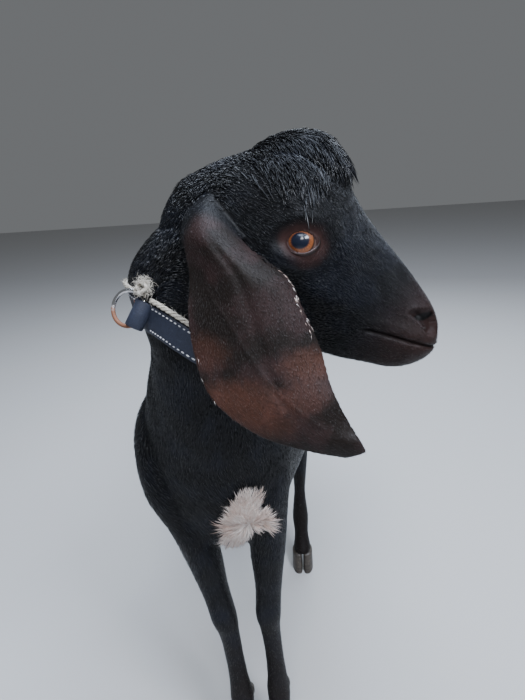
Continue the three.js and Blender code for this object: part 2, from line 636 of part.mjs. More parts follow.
// The strap's folded end holds a steel ring, flat against the neck.
const FOLD_ANGLE = 2.85;
const FOLD_INNER = 5.4;
const FOLD_OUTER = 8;
const foldAt = neckPoint(FOLD_ANGLE, 0, FOLD_OUTER - 0.4);
const foldNext = neckPoint(FOLD_ANGLE + 0.06, 0, FOLD_OUTER - 0.4);
const foldBefore = neckPoint(FOLD_ANGLE - 0.06, 0, FOLD_OUTER - 0.4);
const RING_LIFT = 0.35;          // radians by which the ring stands off the neck
const foldOut = foldAt.clone().sub(COLLAR_POINT).projectOnPlane(COLLAR_WAY).normalize();
const foldWay = foldBefore.clone().sub(foldNext).projectOnPlane(COLLAR_WAY).projectOnPlane(foldOut).normalize();

function foldTube(radius, length) {
  const tube = new THREE.CylinderGeometry(radius, radius, length, 20);
  const side = new THREE.Vector3().crossVectors(foldWay, COLLAR_WAY);
  return placedSolid(tube, new THREE.Matrix4().makeBasis(foldWay, COLLAR_WAY, side).setPosition(foldAt));
}

function ringSolid(room = 0) {
  const inset = (RING_RADIUS - Math.sqrt(RING_RADIUS ** 2 - (COLLAR_WIDTH / 2) ** 2)) / 2;
  const way = foldWay.clone().multiplyScalar(Math.cos(RING_LIFT)).addScaledVector(foldOut, Math.sin(RING_LIFT));
  const side = new THREE.Vector3().crossVectors(way, COLLAR_WAY);
  const middle = foldAt.clone().addScaledVector(way, RING_RADIUS - inset);
  const torus = new THREE.TorusGeometry(RING_RADIUS, RING_WIRE + room, 6, 22);
  return placedSolid(torus, new THREE.Matrix4().makeBasis(way, COLLAR_WAY, side).setPosition(middle));
}

// A frayed cord along the strap's upper edge, knotted beside the ring.
const CORD_RADIUS = 2.4;
function cordSolid(room = 0) {
  const rings = [];
  const steps = 28;
  const lap = 0.16;
  for (let i = 0; i <= steps; i += 1) {
    const angle = FOLD_ANGLE + lap + (2 * Math.PI - 2 * lap) * (i / steps);
    const shift = COLLAR_WIDTH / 2 + CORD_RADIUS + 0.8;
    const centre = neckPoint(angle, shift, CORD_RADIUS + 0.9);
    const out = centre.clone().sub(neckPoint(angle, shift, 0)).normalize();
    rings.push(section(centre, out, COLLAR_WAY, CORD_RADIUS + room, CORD_RADIUS + room, CORD_RADIUS + room, 2, 6));
  }
  const knotAt = neckPoint(FOLD_ANGLE, COLLAR_WIDTH / 2 + 9.5, 6.6);
  const knot = new THREE.SphereGeometry(1, 12, 8);
  knot.applyMatrix4(new THREE.Matrix4().makeScale(9 + room, 5.6 + room, 8 + room));
  const basis = new THREE.Matrix4().makeBasis(foldWay, foldOut, COLLAR_WAY).setPosition(knotAt);
  return solid(loft(rings)).add(placedSolid(knot, basis));
}

// Everything together: solids in the goat's frame, then one mesh for each node.
// The trunk's loft is parted at two of its own sections, so those faces are flat.
const NECK_START = station('neck base');
const NECK_END = station('throat') + 0.2 / TRUNK.length;
const PARTING = 0.0006;
const trunk = solid(trunkLoft(0, NECK_START));
const neckWhole = solid(trunkLoft(NECK_START + PARTING * 2.5, NECK_END, 0, ...NECK_GRID));
const neckRoomy = solid(trunkLoft(NECK_START + PARTING * 0.5, NECK_END + PARTING * 1.5, GAP, ...NECK_GRID));
const skullBase = solid(trunkLoft(NECK_END, 1));
const legWhole = LEGS.map((leg) => solid(legLoft(leg)));
const legTop = (leg) => (leg.rows === FORELEG ? ELBOW_Z : STIFLE_Z);

const toHead = (body) => body.transform(HEAD_MATRIX.elements);
const eyes = [1, -1].map((side) => ({
  side,
  ball: placedSolid(ballGeometry(EYE_RADIUS), HEAD_MATRIX.clone().multiply(IN_HEAD(EYE_AT.x, side * EYE_AT.y, EYE_AT.z))),
  socket: placedSolid(ballGeometry(EYE_RADIUS + GAP), HEAD_MATRIX.clone().multiply(IN_HEAD(EYE_AT.x, side * EYE_AT.y, EYE_AT.z))),
}));

let head = placedSolid(headLoft(), HEAD_MATRIX).add(skullBase);
head = head.add(toHead(forelock()));
[1, -1].forEach((side) => {
  head = head.add(toHead(lidSolid(side)));
  head = head.subtract(toHead(slitSolid(side)));
  head = head.subtract(toHead(nostrilSolid(side)));
});
head = head.subtract(toHead(mouthSolid()));
eyes.forEach((eye) => { head = head.subtract(eye.socket); });
head = head.subtract(neckRoomy);

const ears = [1, -1].map((side) => {
  const shape = earGeometry(side).applyMatrix4(HEAD_MATRIX);
  const whole = solid(side > 0 ? drapeOverShoulder(shape) : shape);
  const outward = v(0, side, 0).transformDirection(HEAD_MATRIX).multiplyScalar(GAP * 1.5);
  const trimmed = whole.subtract(head).subtract(neckRoomy);
  return { side, body: largest(trimmed).translate([outward.x, outward.y, outward.z]) };
});

const halfWidth = COLLAR_WIDTH / 2;
const bore = foldTube(FOLD_INNER, COLLAR_WIDTH + 4);
const neckGrown = (grow) => solid(trunkLoft(NECK_SPAN[0], NECK_SPAN[1], grow, ...STRAP_GRID));
const trunkRoomy = solid(trunkLoft(0, NECK_START, GAP));
const strap = neckGrown(COLLAR_THICKNESS - 0.6).intersect(collarSlice(halfWidth)).subtract(neckGrown(-0.6)).subtract(trunkRoomy);
const band = largest(strap.add(foldTube(FOLD_OUTER, COLLAR_WIDTH)).subtract(bore).subtract(ringSolid(GAP)));
const bandRoom = collarSlice(halfWidth + GAP).subtract(neckGrown(-0.6 - GAP));
const ring = ringSolid();
const foldRoom = foldTube(FOLD_OUTER + GAP, COLLAR_WIDTH + 2 * GAP);
const ringRoom = ringSolid(GAP);
const cord = largest(cordSolid().subtract(ringRoom).subtract(foldRoom));
const fittings = Manifold.union([bandRoom, foldRoom, ringRoom, cordSolid(GAP)]);
const neck = largest(neckWhole.subtract(fittings).subtract(trunk));

const legRoots = LEGS.map((leg, i) => legWhole[i].trimByPlane([0, 0, 1], legTop(leg) + GAP / 2));
const torso = Manifold.union([trunk, ...legRoots, brisketTuft()]).subtract(neckRoomy);
const tail = tailSolid().subtract(torso).translate([0, GAP * 1.2, GAP]);

const goat = new THREE.Group();
goat.add(node('torso', torso, COAT));
goat.add(node('neck', neck, COAT));
goat.add(node('head', head, COAT));
goat.add(node('tail', tail, COAT));
ears.forEach(({ side, body }) => goat.add(node(side > 0 ? 'ear_left' : 'ear_right', body, EAR_SKIN)));
eyes.forEach(({ side, ball }) => goat.add(node(side > 0 ? 'eye_left' : 'eye_right', ball, EYE)));

LEGS.forEach((leg, i) => {
  const lower = legWhole[i].trimByPlane([0, 0, -1], -(legTop(leg) - GAP / 2));
  goat.add(node(leg.name, lower, COAT));
  const foot = legStation(leg, leg.rows[leg.rows.length - 1]);
  [1, -1].forEach((side) => {
    const claw = placedSolid(clawGeometry(side), new THREE.Matrix4().makeTranslation(foot.x + side * CLAW.split / 1.05, foot.y, 0));
    goat.add(node(`hoof_${leg.name}_${side > 0 ? 'a' : 'b'}`, claw, HORN));
    const fetlock = legStation(leg, leg.rows.find((row) => row.at === 'fetlock'));
    const seat = new THREE.Matrix4().makeTranslation(fetlock.x + side * 8.5, fetlock.y + 16, fetlock.z - 8);
    const dew = placedSolid(dewclawGeometry(), seat).subtract(legWhole[i]).translate([0, GAP * 1.5, 0]);
    goat.add(node(`dewclaw_${leg.name}_${side > 0 ? 'a' : 'b'}`, dew, HORN));
  });
});
goat.add(node('collar', band, STRAP));
goat.add(node('collar_ring', ring, STEEL));
goat.add(node('collar_cord', cord, CORD));

// The bounding box is centred over the origin, so that the part drops in anywhere.
const bounds = new THREE.Box3().setFromObject(goat);
goat.position.set(-(bounds.min.x + bounds.max.x) / 2, -(bounds.min.y + bounds.max.y) / 2, -bounds.min.z);

export default goat;
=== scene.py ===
# %% [markdown]
# # A Nubian goat kid in Blender
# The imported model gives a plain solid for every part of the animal. This script reads it as a fixed frame
# and grows the fine surface round it: one smooth skin, a coat of small solid tufts, wet eyes, horn claws
# and a stitched leather strap. Lengths are written in millimetres, as on a tape measure, and place() turns
# them into Blender's metres at the end.

import math

import bmesh
import bpy
import numpy as np
from mathutils import Matrix, Vector
from mathutils.bvhtree import BVHTree
from mathutils.kdtree import KDTree


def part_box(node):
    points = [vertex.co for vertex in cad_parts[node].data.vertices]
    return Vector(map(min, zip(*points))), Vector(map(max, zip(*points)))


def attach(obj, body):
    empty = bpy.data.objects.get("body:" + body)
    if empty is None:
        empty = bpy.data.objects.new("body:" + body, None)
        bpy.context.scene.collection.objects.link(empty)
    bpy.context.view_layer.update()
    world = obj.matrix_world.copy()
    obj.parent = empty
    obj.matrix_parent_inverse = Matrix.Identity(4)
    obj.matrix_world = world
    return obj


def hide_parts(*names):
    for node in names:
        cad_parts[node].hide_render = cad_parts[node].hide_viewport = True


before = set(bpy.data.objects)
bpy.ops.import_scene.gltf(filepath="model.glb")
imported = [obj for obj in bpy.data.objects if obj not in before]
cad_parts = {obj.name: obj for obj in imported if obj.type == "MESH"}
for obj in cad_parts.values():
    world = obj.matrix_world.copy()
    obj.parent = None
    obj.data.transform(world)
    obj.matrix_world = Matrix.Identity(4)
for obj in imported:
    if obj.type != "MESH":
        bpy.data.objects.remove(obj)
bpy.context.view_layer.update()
MM = 0.001
SEED = 4724
print("nodes in the frame:", len(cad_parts))

# %% [markdown]
# The goat was drawn round its front feet, and its box was then centred over the origin. The two
# eyeballs tell by how much: they are the only balls in the frame, so the middle of their boxes is exact.
# The head has axes of its own, out along the muzzle, to the goat's left and up through the brow.

# %% The goat's own frame and the head's
HEAD_ORIGIN = np.array([19.7, -11.9, 695.1])
MUZZLE_WAY = np.array([0.796, -0.258, -0.548])
LEFT_HINT = np.array([0.206, 0.966, -0.156])
EYE_AT = np.array([75.0, 33.5, 4.2])
EYE_RADIUS = 15.0


def unit(vectors):
    """Vectors scaled to length one."""
    vectors = np.asarray(vectors, float)
    return vectors / np.maximum(np.linalg.norm(vectors, axis=-1, keepdims=True), 1e-12)


MUZZLE_WAY = unit(MUZZLE_WAY)
BROW_WAY = unit(np.cross(MUZZLE_WAY, LEFT_HINT))
LEFT_WAY = unit(np.cross(BROW_WAY, MUZZLE_WAY))
HEAD_AXES = np.array([MUZZLE_WAY, LEFT_WAY, BROW_WAY])


def from_head(points):
    """Head coordinates to the goat's, in millimetres."""
    return HEAD_ORIGIN + np.asarray(points, float) @ HEAD_AXES


def to_head(points):
    """The goat's coordinates to the head's, in millimetres."""
    return (np.asarray(points, float) - HEAD_ORIGIN) @ HEAD_AXES.T


def eye_at(side):
    """The middle of one eyeball in the head's coordinates; side is 1 for the left, -1 for the right."""
    return EYE_AT * [1, side, 1]


def side_name(side):
    return "left" if side > 0 else "right"


def box_middle(node):
    low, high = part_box(node)
    return np.array((low + high) / 2)


EYE_MIDDLE = (box_middle("eye_left") + box_middle("eye_right")) / 2
SHIFT = EYE_MIDDLE / MM - from_head(EYE_AT * [1, 0, 1])
SHIFT[2] = 0.0
print("shift of the frame in mm:", SHIFT.round(2))


def place(points):
    """The goat's coordinates in millimetres to Blender's, in metres."""
    return (np.asarray(points, float) + SHIFT) * MM


def unplace(points):
    """Blender's metres back to the goat's millimetres."""
    return np.asarray(points, float) / MM - SHIFT


# %% [markdown]
# Three tools make nearly every form here. A spline passes smoothly through a short table of stations, an
# oval draws the section at each place along it, and a loft joins the sections into a closed skin. A
# sculptor blocks out an animal in just this way, as rings threaded on a spine.

# %% Splines, ovals and lofts
def spline(rows, t):
    """Points on a Catmull-Rom spline through the rows, with t from 0 to 1."""
    rows = np.asarray(rows, float)
    last = len(rows) - 1
    t = np.clip(np.asarray(t, float), 0, 1) * last
    i = np.minimum(t.astype(int), last - 1)
    f = (t - i)[..., None]
    padded = np.vstack([2 * rows[0] - rows[1], rows, 2 * rows[-1] - rows[-2]])
    p0, p1, p2, p3 = (padded[i + k] for k in range(4))
    t1 = (p2 - p0) / 2
    t2 = (p3 - p1) / 2
    return (2 * p1 - 2 * p2 + t1 + t2) * f**3 + (3 * p2 - 3 * p1 - 2 * t1 - t2) * f**2 + t1 * f + p1


def ovals(centre, across, up, half, rise, drop, full, count):
    """One squared-off oval for each centre: an array of rings by points by three."""
    angle = np.linspace(0, 2 * math.pi, count, endpoint=False)
    c = np.cos(angle)
    s = np.sin(angle)
    side = np.sign(c) * np.abs(c) ** (2 / full) * np.reshape(half, (-1, 1))
    tall = np.where(s > 0, np.reshape(rise, (-1, 1)), np.reshape(drop, (-1, 1)))
    lift = np.sign(s) * np.abs(s) ** (2 / full) * tall
    centre, across, up = (np.broadcast_to(a, (len(side), 3))[:, None, :] for a in (centre, across, up))
    return centre + across * side[..., None] + up * lift[..., None]


def loft_faces(rings, count, closed=False):
    """Quads over a grid of rings, and a fan over each end unless the rings close on themselves."""
    r = np.arange(rings if closed else rings - 1)[:, None] * count
    c = np.arange(count)[None, :]
    wrap = (c + 1) % count
    after = (r + count) % (rings * count)
    quads = np.stack([r + c, r + wrap, after + wrap, after + c], -1).reshape(-1, 4).tolist()
    if closed:
        return quads
    first = rings * count
    last = (rings - 1) * count
    fans = [[first, (k + 1) % count, k] for k in range(count)]
    fans += [[first + 1, last + k, last + (k + 1) % count] for k in range(count)]
    return quads + fans


def new_object(name, points, faces, smooth=True):
    """A mesh object from points in metres."""
    mesh = bpy.data.meshes.new(name)
    mesh.from_pydata(np.asarray(points, float).tolist(), [], faces)
    mesh.validate()
    mesh.polygons.foreach_set("use_smooth", [smooth] * len(mesh.polygons))
    made = bpy.data.objects.new(name, mesh)
    bpy.context.scene.collection.objects.link(made)
    return made


def face_out(obj):
    """Turns every face of a closed mesh outwards."""
    shell = bmesh.new()
    shell.from_mesh(obj.data)
    bmesh.ops.recalc_face_normals(shell, faces=shell.faces)
    shell.to_mesh(obj.data)
    shell.free()
    return obj


def loft_object(name, rings, closed=False):
    """A closed loft through an array of rings, given in the goat's millimetres."""
    count = rings.shape[1]
    points = rings.reshape(-1, 3)
    if not closed:
        points = np.vstack([points, rings[0].mean(0), rings[-1].mean(0)])
    return face_out(new_object(name, place(points), loft_faces(len(rings), count, closed)))


def bump(distance, reach):
    """A smooth bell: one at no distance, gone at about twice the reach."""
    return np.exp(-((distance / reach) ** 2))


def mix(a, b, t):
    return a + (b - a) * t


def ramp(x, low, high):
    """A smooth step from 0 at low to 1 at high."""
    t = np.clip((x - low) / (high - low), 0, 1)
    return t * t * (3 - 2 * t)


# %% [markdown]
# The trunk and neck are one loft from the rump to the back of the skull. Each station names a point on
# the back, the one under it on the belly or throat, the half width, the height of the widest level, and
# how far the neck has turned there. The table is the one that the frame was built from, so the skin
# lies where the solids are, a coat's depth inside them.

# %% Stations of the trunk and neck
TRUNK = {
    "rump end": ((10, 546, 512), (10, 540, 470), 20, 0.5, 0),
    "pin bones": ((10, 536, 538), (10, 536, 430), 44, 0.55, 0),
    "croup": ((9, 508, 562), (9, 514, 396), 60, 0.6, 0),
    "hips": ((7, 455, 582), (7, 465, 368), 70, 0.6, 0),
    "loin": ((4, 390, 590), (4, 402, 342), 76, 0.5, 0),
    "flank": ((0, 320, 586), (0, 328, 314), 88, 0.42, 0),
    "belly": ((-5, 245, 578), (-5, 250, 296), 96, 0.4, 0),
    "ribs": ((-11, 170, 574), (-11, 172, 290), 95, 0.4, 0),
    "girth": ((-17, 105, 577), (-17, 98, 294), 86, 0.42, 0),
    "withers": ((-22, 60, 581), (-22, 36, 300), 78, 0.45, 0),
    "shoulders": ((-26, 36, 583), (-22, 8, 316), 76, 0.45, 0),
    "chest": ((-28, 24, 587), (-19, -15, 348), 71, 0.45, 0),
    "neck base": ((-31, 24, 594), (-16, -34, 404), 62, 0.48, 0),
    "low neck": ((-37, 30, 603), (-13, -48, 470), 51, 0.5, 0),
    "mid neck": ((-49, 31, 612), (-7, -54, 525), 43, 0.5, 10),
    "under the collar": ((-66, 22, 620), (3, -54, 556), 40, 0.5, 30),
    "collar": ((-77, 9, 632), (13, -48, 580), 38, 0.5, 52),
    "high neck": ((-69, 1, 653), (20, -40, 607), 38, 0.5, 67),
    "throat": ((-46, -1, 676), (25, -31, 634), 38, 0.5, 75),
    "nape": ((-23, -2, 694), (30, -25, 658), 37, 0.5, 78),
    "inside the head": ((2, -4, 703), (36, -20, 680), 26, 0.5, 78),
}
TRUNK_BACK = [row[0] for row in TRUNK.values()]
TRUNK_BELLY = [row[1] for row in TRUNK.values()]
TRUNK_SIZE = [(row[2], row[3], math.radians(row[4])) for row in TRUNK.values()]
TRUNK_FULL = 2.15


def station(name):
    return list(TRUNK).index(name) / (len(TRUNK) - 1)


def trunk_frame(t):
    """Centre, side way, up way, height, half width and widest level of the section at t."""
    back = spline(TRUNK_BACK, t)
    belly = spline(TRUNK_BELLY, t)
    size = spline(TRUNK_SIZE, t)
    up = back - belly
    height = np.linalg.norm(up, axis=-1)
    up = unit(up)
    side = np.stack([np.cos(size[..., 2]), np.sin(size[..., 2]), 0 * size[..., 2]], -1)
    side = unit(side - up * (side * up).sum(-1, keepdims=True))
    centre = mix(belly, back, size[..., 1:2])
    return centre, side, up, height, size[..., 0], size[..., 1]


def trunk_rings(start, end, steps, count, inset):
    """Sections of the trunk from one place to another, drawn in by the coat's depth."""
    centre, side, up, height, half, widest = trunk_frame(np.linspace(start, end, steps))
    rise = height * (1 - widest) - inset
    drop = height * widest - inset
    return ovals(centre, side, up, half - inset, rise, drop, TRUNK_FULL, count)


# %% [markdown]
# A leg is a stack of level sections: shoulder, elbow, knee, cannon, fetlock, pastern. The same rows serve
# left and right, and each foot is then stepped forward, back or out to the stance, so the weight reads.

# %% Stations of the legs
SEAM_Z = 30
# Each row has the place back and up, how far aside it is, and half the leg's width and depth there.
FORELEG = [
    (56, 512, 42, 14, 26),
    (40, 460, 54, 27, 44),
    (26, 400, 51, 27, 45),
    (24, 345, 45, 23, 37),
    (18, 300, 38, 21, 27),
    (12, 255, 32.5, 17, 20),
    (7, 215, 27, 15.5, 18),
    (8, 188, 25.5, 13.2, 14.5),
    (9, 145, 25, 12.6, 13.5),
    (7, 108, 24.5, 13.4, 15),
    (5, 84, 24, 15.8, 17.5),
    (-3, 58, 24, 14.2, 15.5),
    (-11, 36, 24, 17, 19.5),
    (-13, SEAM_Z, 24, 17.2, 20),
]
HIND_LEG = [
    (470, 545, 34, 14, 40),
    (462, 500, 44, 30, 62),
    (452, 440, 50, 35, 72),
    (432, 385, 56, 32, 64),
    (414, 335, 60, 27, 48),
    (414, 285, 60, 21, 33),
    (424, 235, 57, 15.5, 24),
    (432, 192, 54, 15, 23),
    (428, 160, 52, 13, 17.5),
    (422, 122, 50, 12, 14.5),
    (414, 84, 49, 15.5, 17.5),
    (404, 58, 49, 13.5, 15.5),
    (396, 36, 49, 16.5, 19.5),
    (394, SEAM_Z, 49, 16.5, 20),
]
# Each leg has its rows, its side, the foot's step aside and back, the root's shift and the height it
# fades from, and how far the shoulder swells.
LEGS = {
    "foreleg_left": (FORELEG, 1, 0, 8, -27, 400, 0),
    "foreleg_right": (FORELEG, -1, 2, -4, -27, 400, 8),
    "hind_leg_left": (HIND_LEG, 1, 10, -72, 6, 500, 0),
    "hind_leg_right": (HIND_LEG, -1, -8, 22, 6, 500, 0),
}
SHOULDER_LEVEL = (432, 62)
FETLOCK_ROW = 10


def leg_station(leg, row):
    """Where one station of a leg stands once its foot has been moved."""
    rows, side, foot_x, foot_y, root_x, root_z, shoulder = LEGS[leg]
    y, z, x = rows[row][:3]
    low = 1 - min(1, z / rows[1][1])
    root_share = min(1, z / root_z) ** 1.6
    x += shoulder * math.exp(-(((z - SHOULDER_LEVEL[0]) / SHOULDER_LEVEL[1]) ** 2))
    return np.array([side * x + foot_x * low + root_x * root_share, y + foot_y * low, z])


def leg_rings(leg, steps, count, inset):
    rows = LEGS[leg][0]
    t = np.linspace(0, 1, steps)
    centre = spline([leg_station(leg, k) for k in range(len(rows))], t)
    size = spline([row[3:] for row in rows], t) - inset
    return ovals(centre, (1, 0, 0), (0, 1, 0), size[:, 0], size[:, 1], size[:, 1], 2.1, count)


# %% [markdown]
# The head is a loft along the muzzle, from the back of the skull to the lips. Its outline gives the
# arched nose of the breed. Bells of height laid over it then swell the brow, the cheek and the lips and
# hollow the face before the eye, as thumbs press clay.

# %% Stations and relief of the head
# Each row has a place along the muzzle, the heights of top and bottom, half the width and the widest level.
HEAD = [
    (-46, -8, -44, 12, 0.5),
    (-38, 3, -62, 27, 0.5),
    (-20, 26, -76, 38, 0.54),
    (4, 49, -84, 44, 0.56),
    (30, 68, -87, 47, 0.57),
    (55, 68, -86, 48, 0.57),
    (77, 58, -82, 46, 0.58),
    (98, 47.5, -77, 40, 0.52),
    (120, 39.5, -70, 34, 0.48),
    (145, 32, -62, 29, 0.46),
    (167, 24, -52.5, 26, 0.46),
    (183, 17, -45.5, 25, 0.48),
    (195, 8.5, -36, 22, 0.5),
    (202, -1.5, -25, 15.5, 0.5),
    (205, -8, -17, 7, 0.5),
]
EYE_TILT = 0.55
# Each form has a middle along the muzzle and up, a stretch along, a reach and a push outwards.
RELIEF = {
    "swell round the eye": ((EYE_AT[0], EYE_AT[2]), 1, 24, 4.2),
    "brow": ((70, 27), 1.5, 13, 3.6),
    "hollow before the eye": ((104, 2), 1, 13, -3.2),
    "cheekbone": ((104, -18), 2.4, 11, 3),
    "jaw muscle": ((58, -44), 1, 27, 3.4),
    "hollow behind the lips": ((124, -34), 1, 13, -2),
    "wing of the nostril": ((184, 7), 1, 9, 2.2),
}


def mouth_level(x):
    """Height of the parting between the lips, along the muzzle."""
    return mix(-26, -8, np.clip((x - 150) / 56, 0, 1) ** 0.9)


def head_relief(p):
    """Moves head points sideways by the soft forms of brow, socket, cheek and lips."""
    x, y, z = p[..., 0], p[..., 1], p[..., 2]
    flank = np.minimum(1, np.abs(y) / 18)
    push = 0 * x
    for (at_x, at_z), stretch, reach, height in RELIEF.values():
        push += height * bump(np.hypot((x - at_x) / stretch, z - at_z), reach)
    lip = mouth_level(x)
    lips_here = bump(np.maximum(0, 150 - x), 12)
    push += 1.8 * bump(z - (lip + 7), 5) * lips_here
    push += 1.4 * bump(z - (lip - 8), 5) * lips_here
    moved = p.copy()
    moved[..., 1] += np.where(y < 0, -1, 1) * push * flank
    return moved


def head_rings(steps, count, inset):
    t = np.linspace(0, 1, steps)
    rows = spline(HEAD, t)
    height = rows[:, 1] - rows[:, 2]
    centre = np.stack([rows[:, 0], 0 * t, rows[:, 2] + height * rows[:, 4]], -1)
    rise = np.maximum(height * (1 - rows[:, 4]) - inset, 1)
    drop = np.maximum(height * rows[:, 4] - inset, 1)
    rings = ovals(centre, (0, 1, 0), (0, 0, 1), np.maximum(rows[:, 3] - inset, 2), rise, drop, 2.2, count)
    return from_head(head_relief(rings))


# %% [markdown]
# The ears are the breed's own: leaf-shaped, longer than the head and hung from a folded root. Each is a
# thin sheet between a front and a back edge that arches outwards, thickest along its middle, with a soft
# ridge where the vein runs. The far ear is nudged off the shoulder that it lies against. The swell of hair
# over the poll and the raised tail are stations too.

# %% Stations of the ears, the poll and the tail
# Each row has the front edge, the back edge, how far the sheet arches between them, and its thickness.
EAR = [
    ((-6, -30, 10), (-14, -30, -8), 3, 9),
    ((8, -37, -3), (-19, -37, -22), 9, 8),
    ((30, -47, -13), (-10, -48, -40), 17, 5.5),
    ((56, -53, -17), (2, -54, -48), 19, 4),
    ((82, -56, -20), (17, -62, -61), 17, 3.2),
    ((104, -57, -32), (32, -70, -80), 14, 2.8),
    ((129, -60, -48), (51, -76, -102), 11, 2.5),
    ((149, -63, -64), (72, -80, -118), 9, 2.3),
    ((168, -66, -76), (100, -82, -127), 7, 2.2),
    ((185, -67, -85), (133, -79, -128), 5, 2.1),
    ((196, -67, -89), (168, -72, -117), 3, 2),
    ((203, -66, -94), (193, -66, -108), 1, 1.8),
]
FAR_EAR_SWING = 0.2
EAR_EDGE = 2.1
EAR_HINGE = np.array([-6, 36, -16])
SHOULDER = np.array([-25, 62, 470])
SHOULDER_REACH = np.array([98, 128, 134])


def ear_rings(side, steps, across):
    """Flat rings round the ear's edge, from root to tip, in the goat's millimetres."""
    t = np.linspace(0, 1, steps)
    front = spline([row[0] for row in EAR], t)[:, None, :]
    back = spline([row[1] for row in EAR], t)[:, None, :]
    size = spline([row[2:] for row in EAR], t)
    u = np.linspace(0, 1, across)[None, :]
    arch = np.sin(math.pi * u**0.8)
    vein = bump(u - 0.42, 0.05) * ramp(t, 0.12, 0.3)[:, None] * ramp(-t, -0.9, -0.6)[:, None]
    edge_share = (2 * np.abs(u - 0.5)) ** 3
    ripple = 1.6 * np.sin(9 * math.pi * t + 1)[:, None] * edge_share * ramp(t, 0.1, 0.5)[:, None]
    sheet = mix(front, back, u[..., None])
    sheet[..., 1] -= size[:, :1] * arch - 1.5 * vein + ripple
    thin = np.maximum(size[:, 1:] * (0.35 + 0.65 * np.sin(math.pi * u)), EAR_EDGE)
    outer = sheet.copy()
    inner = sheet.copy()
    outer[..., 1] -= thin / 2
    inner[..., 1] += thin / 2
    rings = np.concatenate([outer, inner[:, ::-1]], 1)
    if side < 0:
        return from_head(rings)
    rings = (rings * [1, -1, 1] - EAR_HINGE)[:, ::-1]
    c, s = math.cos(FAR_EAR_SWING), math.sin(FAR_EAR_SWING)
    swing = np.array([[c, 0, s], [0, 1, 0], [-s, 0, c]])
    rings = from_head(rings @ swing.T + EAR_HINGE)
    out = (rings - SHOULDER) / SHOULDER_REACH
    r = np.linalg.norm(out, axis=-1, keepdims=True)
    return np.where(r < 1, SHOULDER + out * (2 - r) * SHOULDER_REACH, rings)


# Each row has a place along the muzzle, half the width, the middle's height and half the height.
HUMP = [
    (-12, 8, 28, 8),
    (0, 20, 39, 17),
    (14, 27, 50, 22),
    (30, 30, 57, 24.5),
    (46, 30, 58, 24.5),
    (61, 27, 55, 23),
    (73, 19, 51, 19),
    (81, 8, 46, 11),
]
HUMP_COAT = 4.0


def hump_rings(steps, count, inset):
    """The swell of hair over the poll, in the goat's millimetres."""
    x, half, level, tall = spline(HUMP, np.linspace(0, 1, steps)).T
    centre = np.stack([x, 0 * x, level], -1)
    tall = np.maximum(tall - inset, 1)
    return from_head(ovals(centre, (0, 1, 0), (0, 0, 1), np.maximum(half - inset, 1), tall, tall, 2, count))


# Each row has a place, half the width and half the height.
TAIL = [
    ((8, 512, 552), 16, 14),
    ((8, 536, 560), 15, 12),
    ((9, 562, 560), 15, 10),
    ((10, 584, 545), 17, 10),
    ((11, 597, 516), 18, 10),
    ((12, 602, 484), 15, 9),
    ((12, 602, 458), 7, 5),
]


def tail_rings(steps, count, inset):
    t = np.linspace(0, 1, steps)
    centre = spline([row[0] for row in TAIL], t)
    along = unit(np.gradient(centre, axis=0))
    up = unit(np.cross((1, 0, 0), along))
    size = np.maximum(spline([row[1:] for row in TAIL], t) - inset, 2)
    return ovals(centre, (1, 0, 0), up, size[:, 0], size[:, 1], size[:, 1], 2, count)


# %% [markdown]
# Blocked-out forms overlap where a leg meets the trunk. A voxel remesh fuses them into one skin with even
# faces, which smoothing then relaxes, as a wet sponge does clay. The body takes coarse voxels and the head
# fine ones. The two meet under the strap, where no seam shows, and become one object.

# %% Fuse the blocked forms into a skin
BODY_COAT = 1.8
LEG_COAT = 1.0
FACE_COAT = 0.6
BODY_VOXEL = 2.9
HEAD_VOXEL = 1.05
SEAM_OVERLAP = 0.006


def applied(obj):
    """Bakes an object's modifiers into its mesh."""
    shaped = obj.evaluated_get(bpy.context.evaluated_depsgraph_get())
    mesh = bpy.data.meshes.new_from_object(shaped)
    obj.modifiers.clear()
    obj.data = mesh
    return obj


def joined(name, parts):
    """One object from several, with no merging."""
    points = []
    faces = []
    start = 0
    for part in parts:
        mesh = part.data
        points.append(read_points(part))
        faces += [[start + k for k in face.vertices] for face in mesh.polygons]
        start += len(mesh.vertices)
        bpy.data.objects.remove(part)
    return new_object(name, np.vstack(points), faces)


def read_points(obj):
    flat = np.empty(len(obj.data.vertices) * 3)
    obj.data.vertices.foreach_get("co", flat)
    return flat.reshape(-1, 3)


def write_points(obj, points):
    obj.data.vertices.foreach_set("co", np.asarray(points, float).ravel())
    obj.data.update()


def read_normals(obj):
    flat = np.empty(len(obj.data.vertices) * 3, np.float32)
    obj.data.vertices.foreach_get("normal", flat)
    return flat.reshape(-1, 3).astype(float)


def fused(obj, voxel, passes):
    """Voxel remesh, then smoothing."""
    remesh = obj.modifiers.new("fuse", "REMESH")
    remesh.mode = "VOXEL"
    remesh.voxel_size = voxel * MM
    relax = obj.modifiers.new("relax", "SMOOTH")
    relax.factor = 0.5
    relax.iterations = passes
    return applied(obj)


PART_AT = station("collar")
trunk = loft_object("trunk", trunk_rings(0, PART_AT + SEAM_OVERLAP, 240, 96, BODY_COAT))
legs = [loft_object(leg, leg_rings(leg, 90, 40, LEG_COAT)) for leg in LEGS]
tail = loft_object("tail_form", tail_rings(40, 24, 4))
body = fused(joined("body", [trunk, *legs, tail]), BODY_VOXEL, 6)
print("body skin:", len(body.data.polygons), "faces")

nape = loft_object("nape_form", trunk_rings(PART_AT - SEAM_OVERLAP, 1, 90, 96, FACE_COAT))
skull = loft_object("skull_form", head_rings(150, 96, FACE_COAT))
ears = [loft_object(f"ear_form_{side}", ear_rings(side, 150, 26)) for side in (1, -1)]
hump = loft_object("hump_form", hump_rings(40, 48, HUMP_COAT))
head = fused(joined("head_skin", [nape, skull, hump, *ears]), HEAD_VOXEL, 5)
print("head skin:", len(head.data.polygons), "faces")

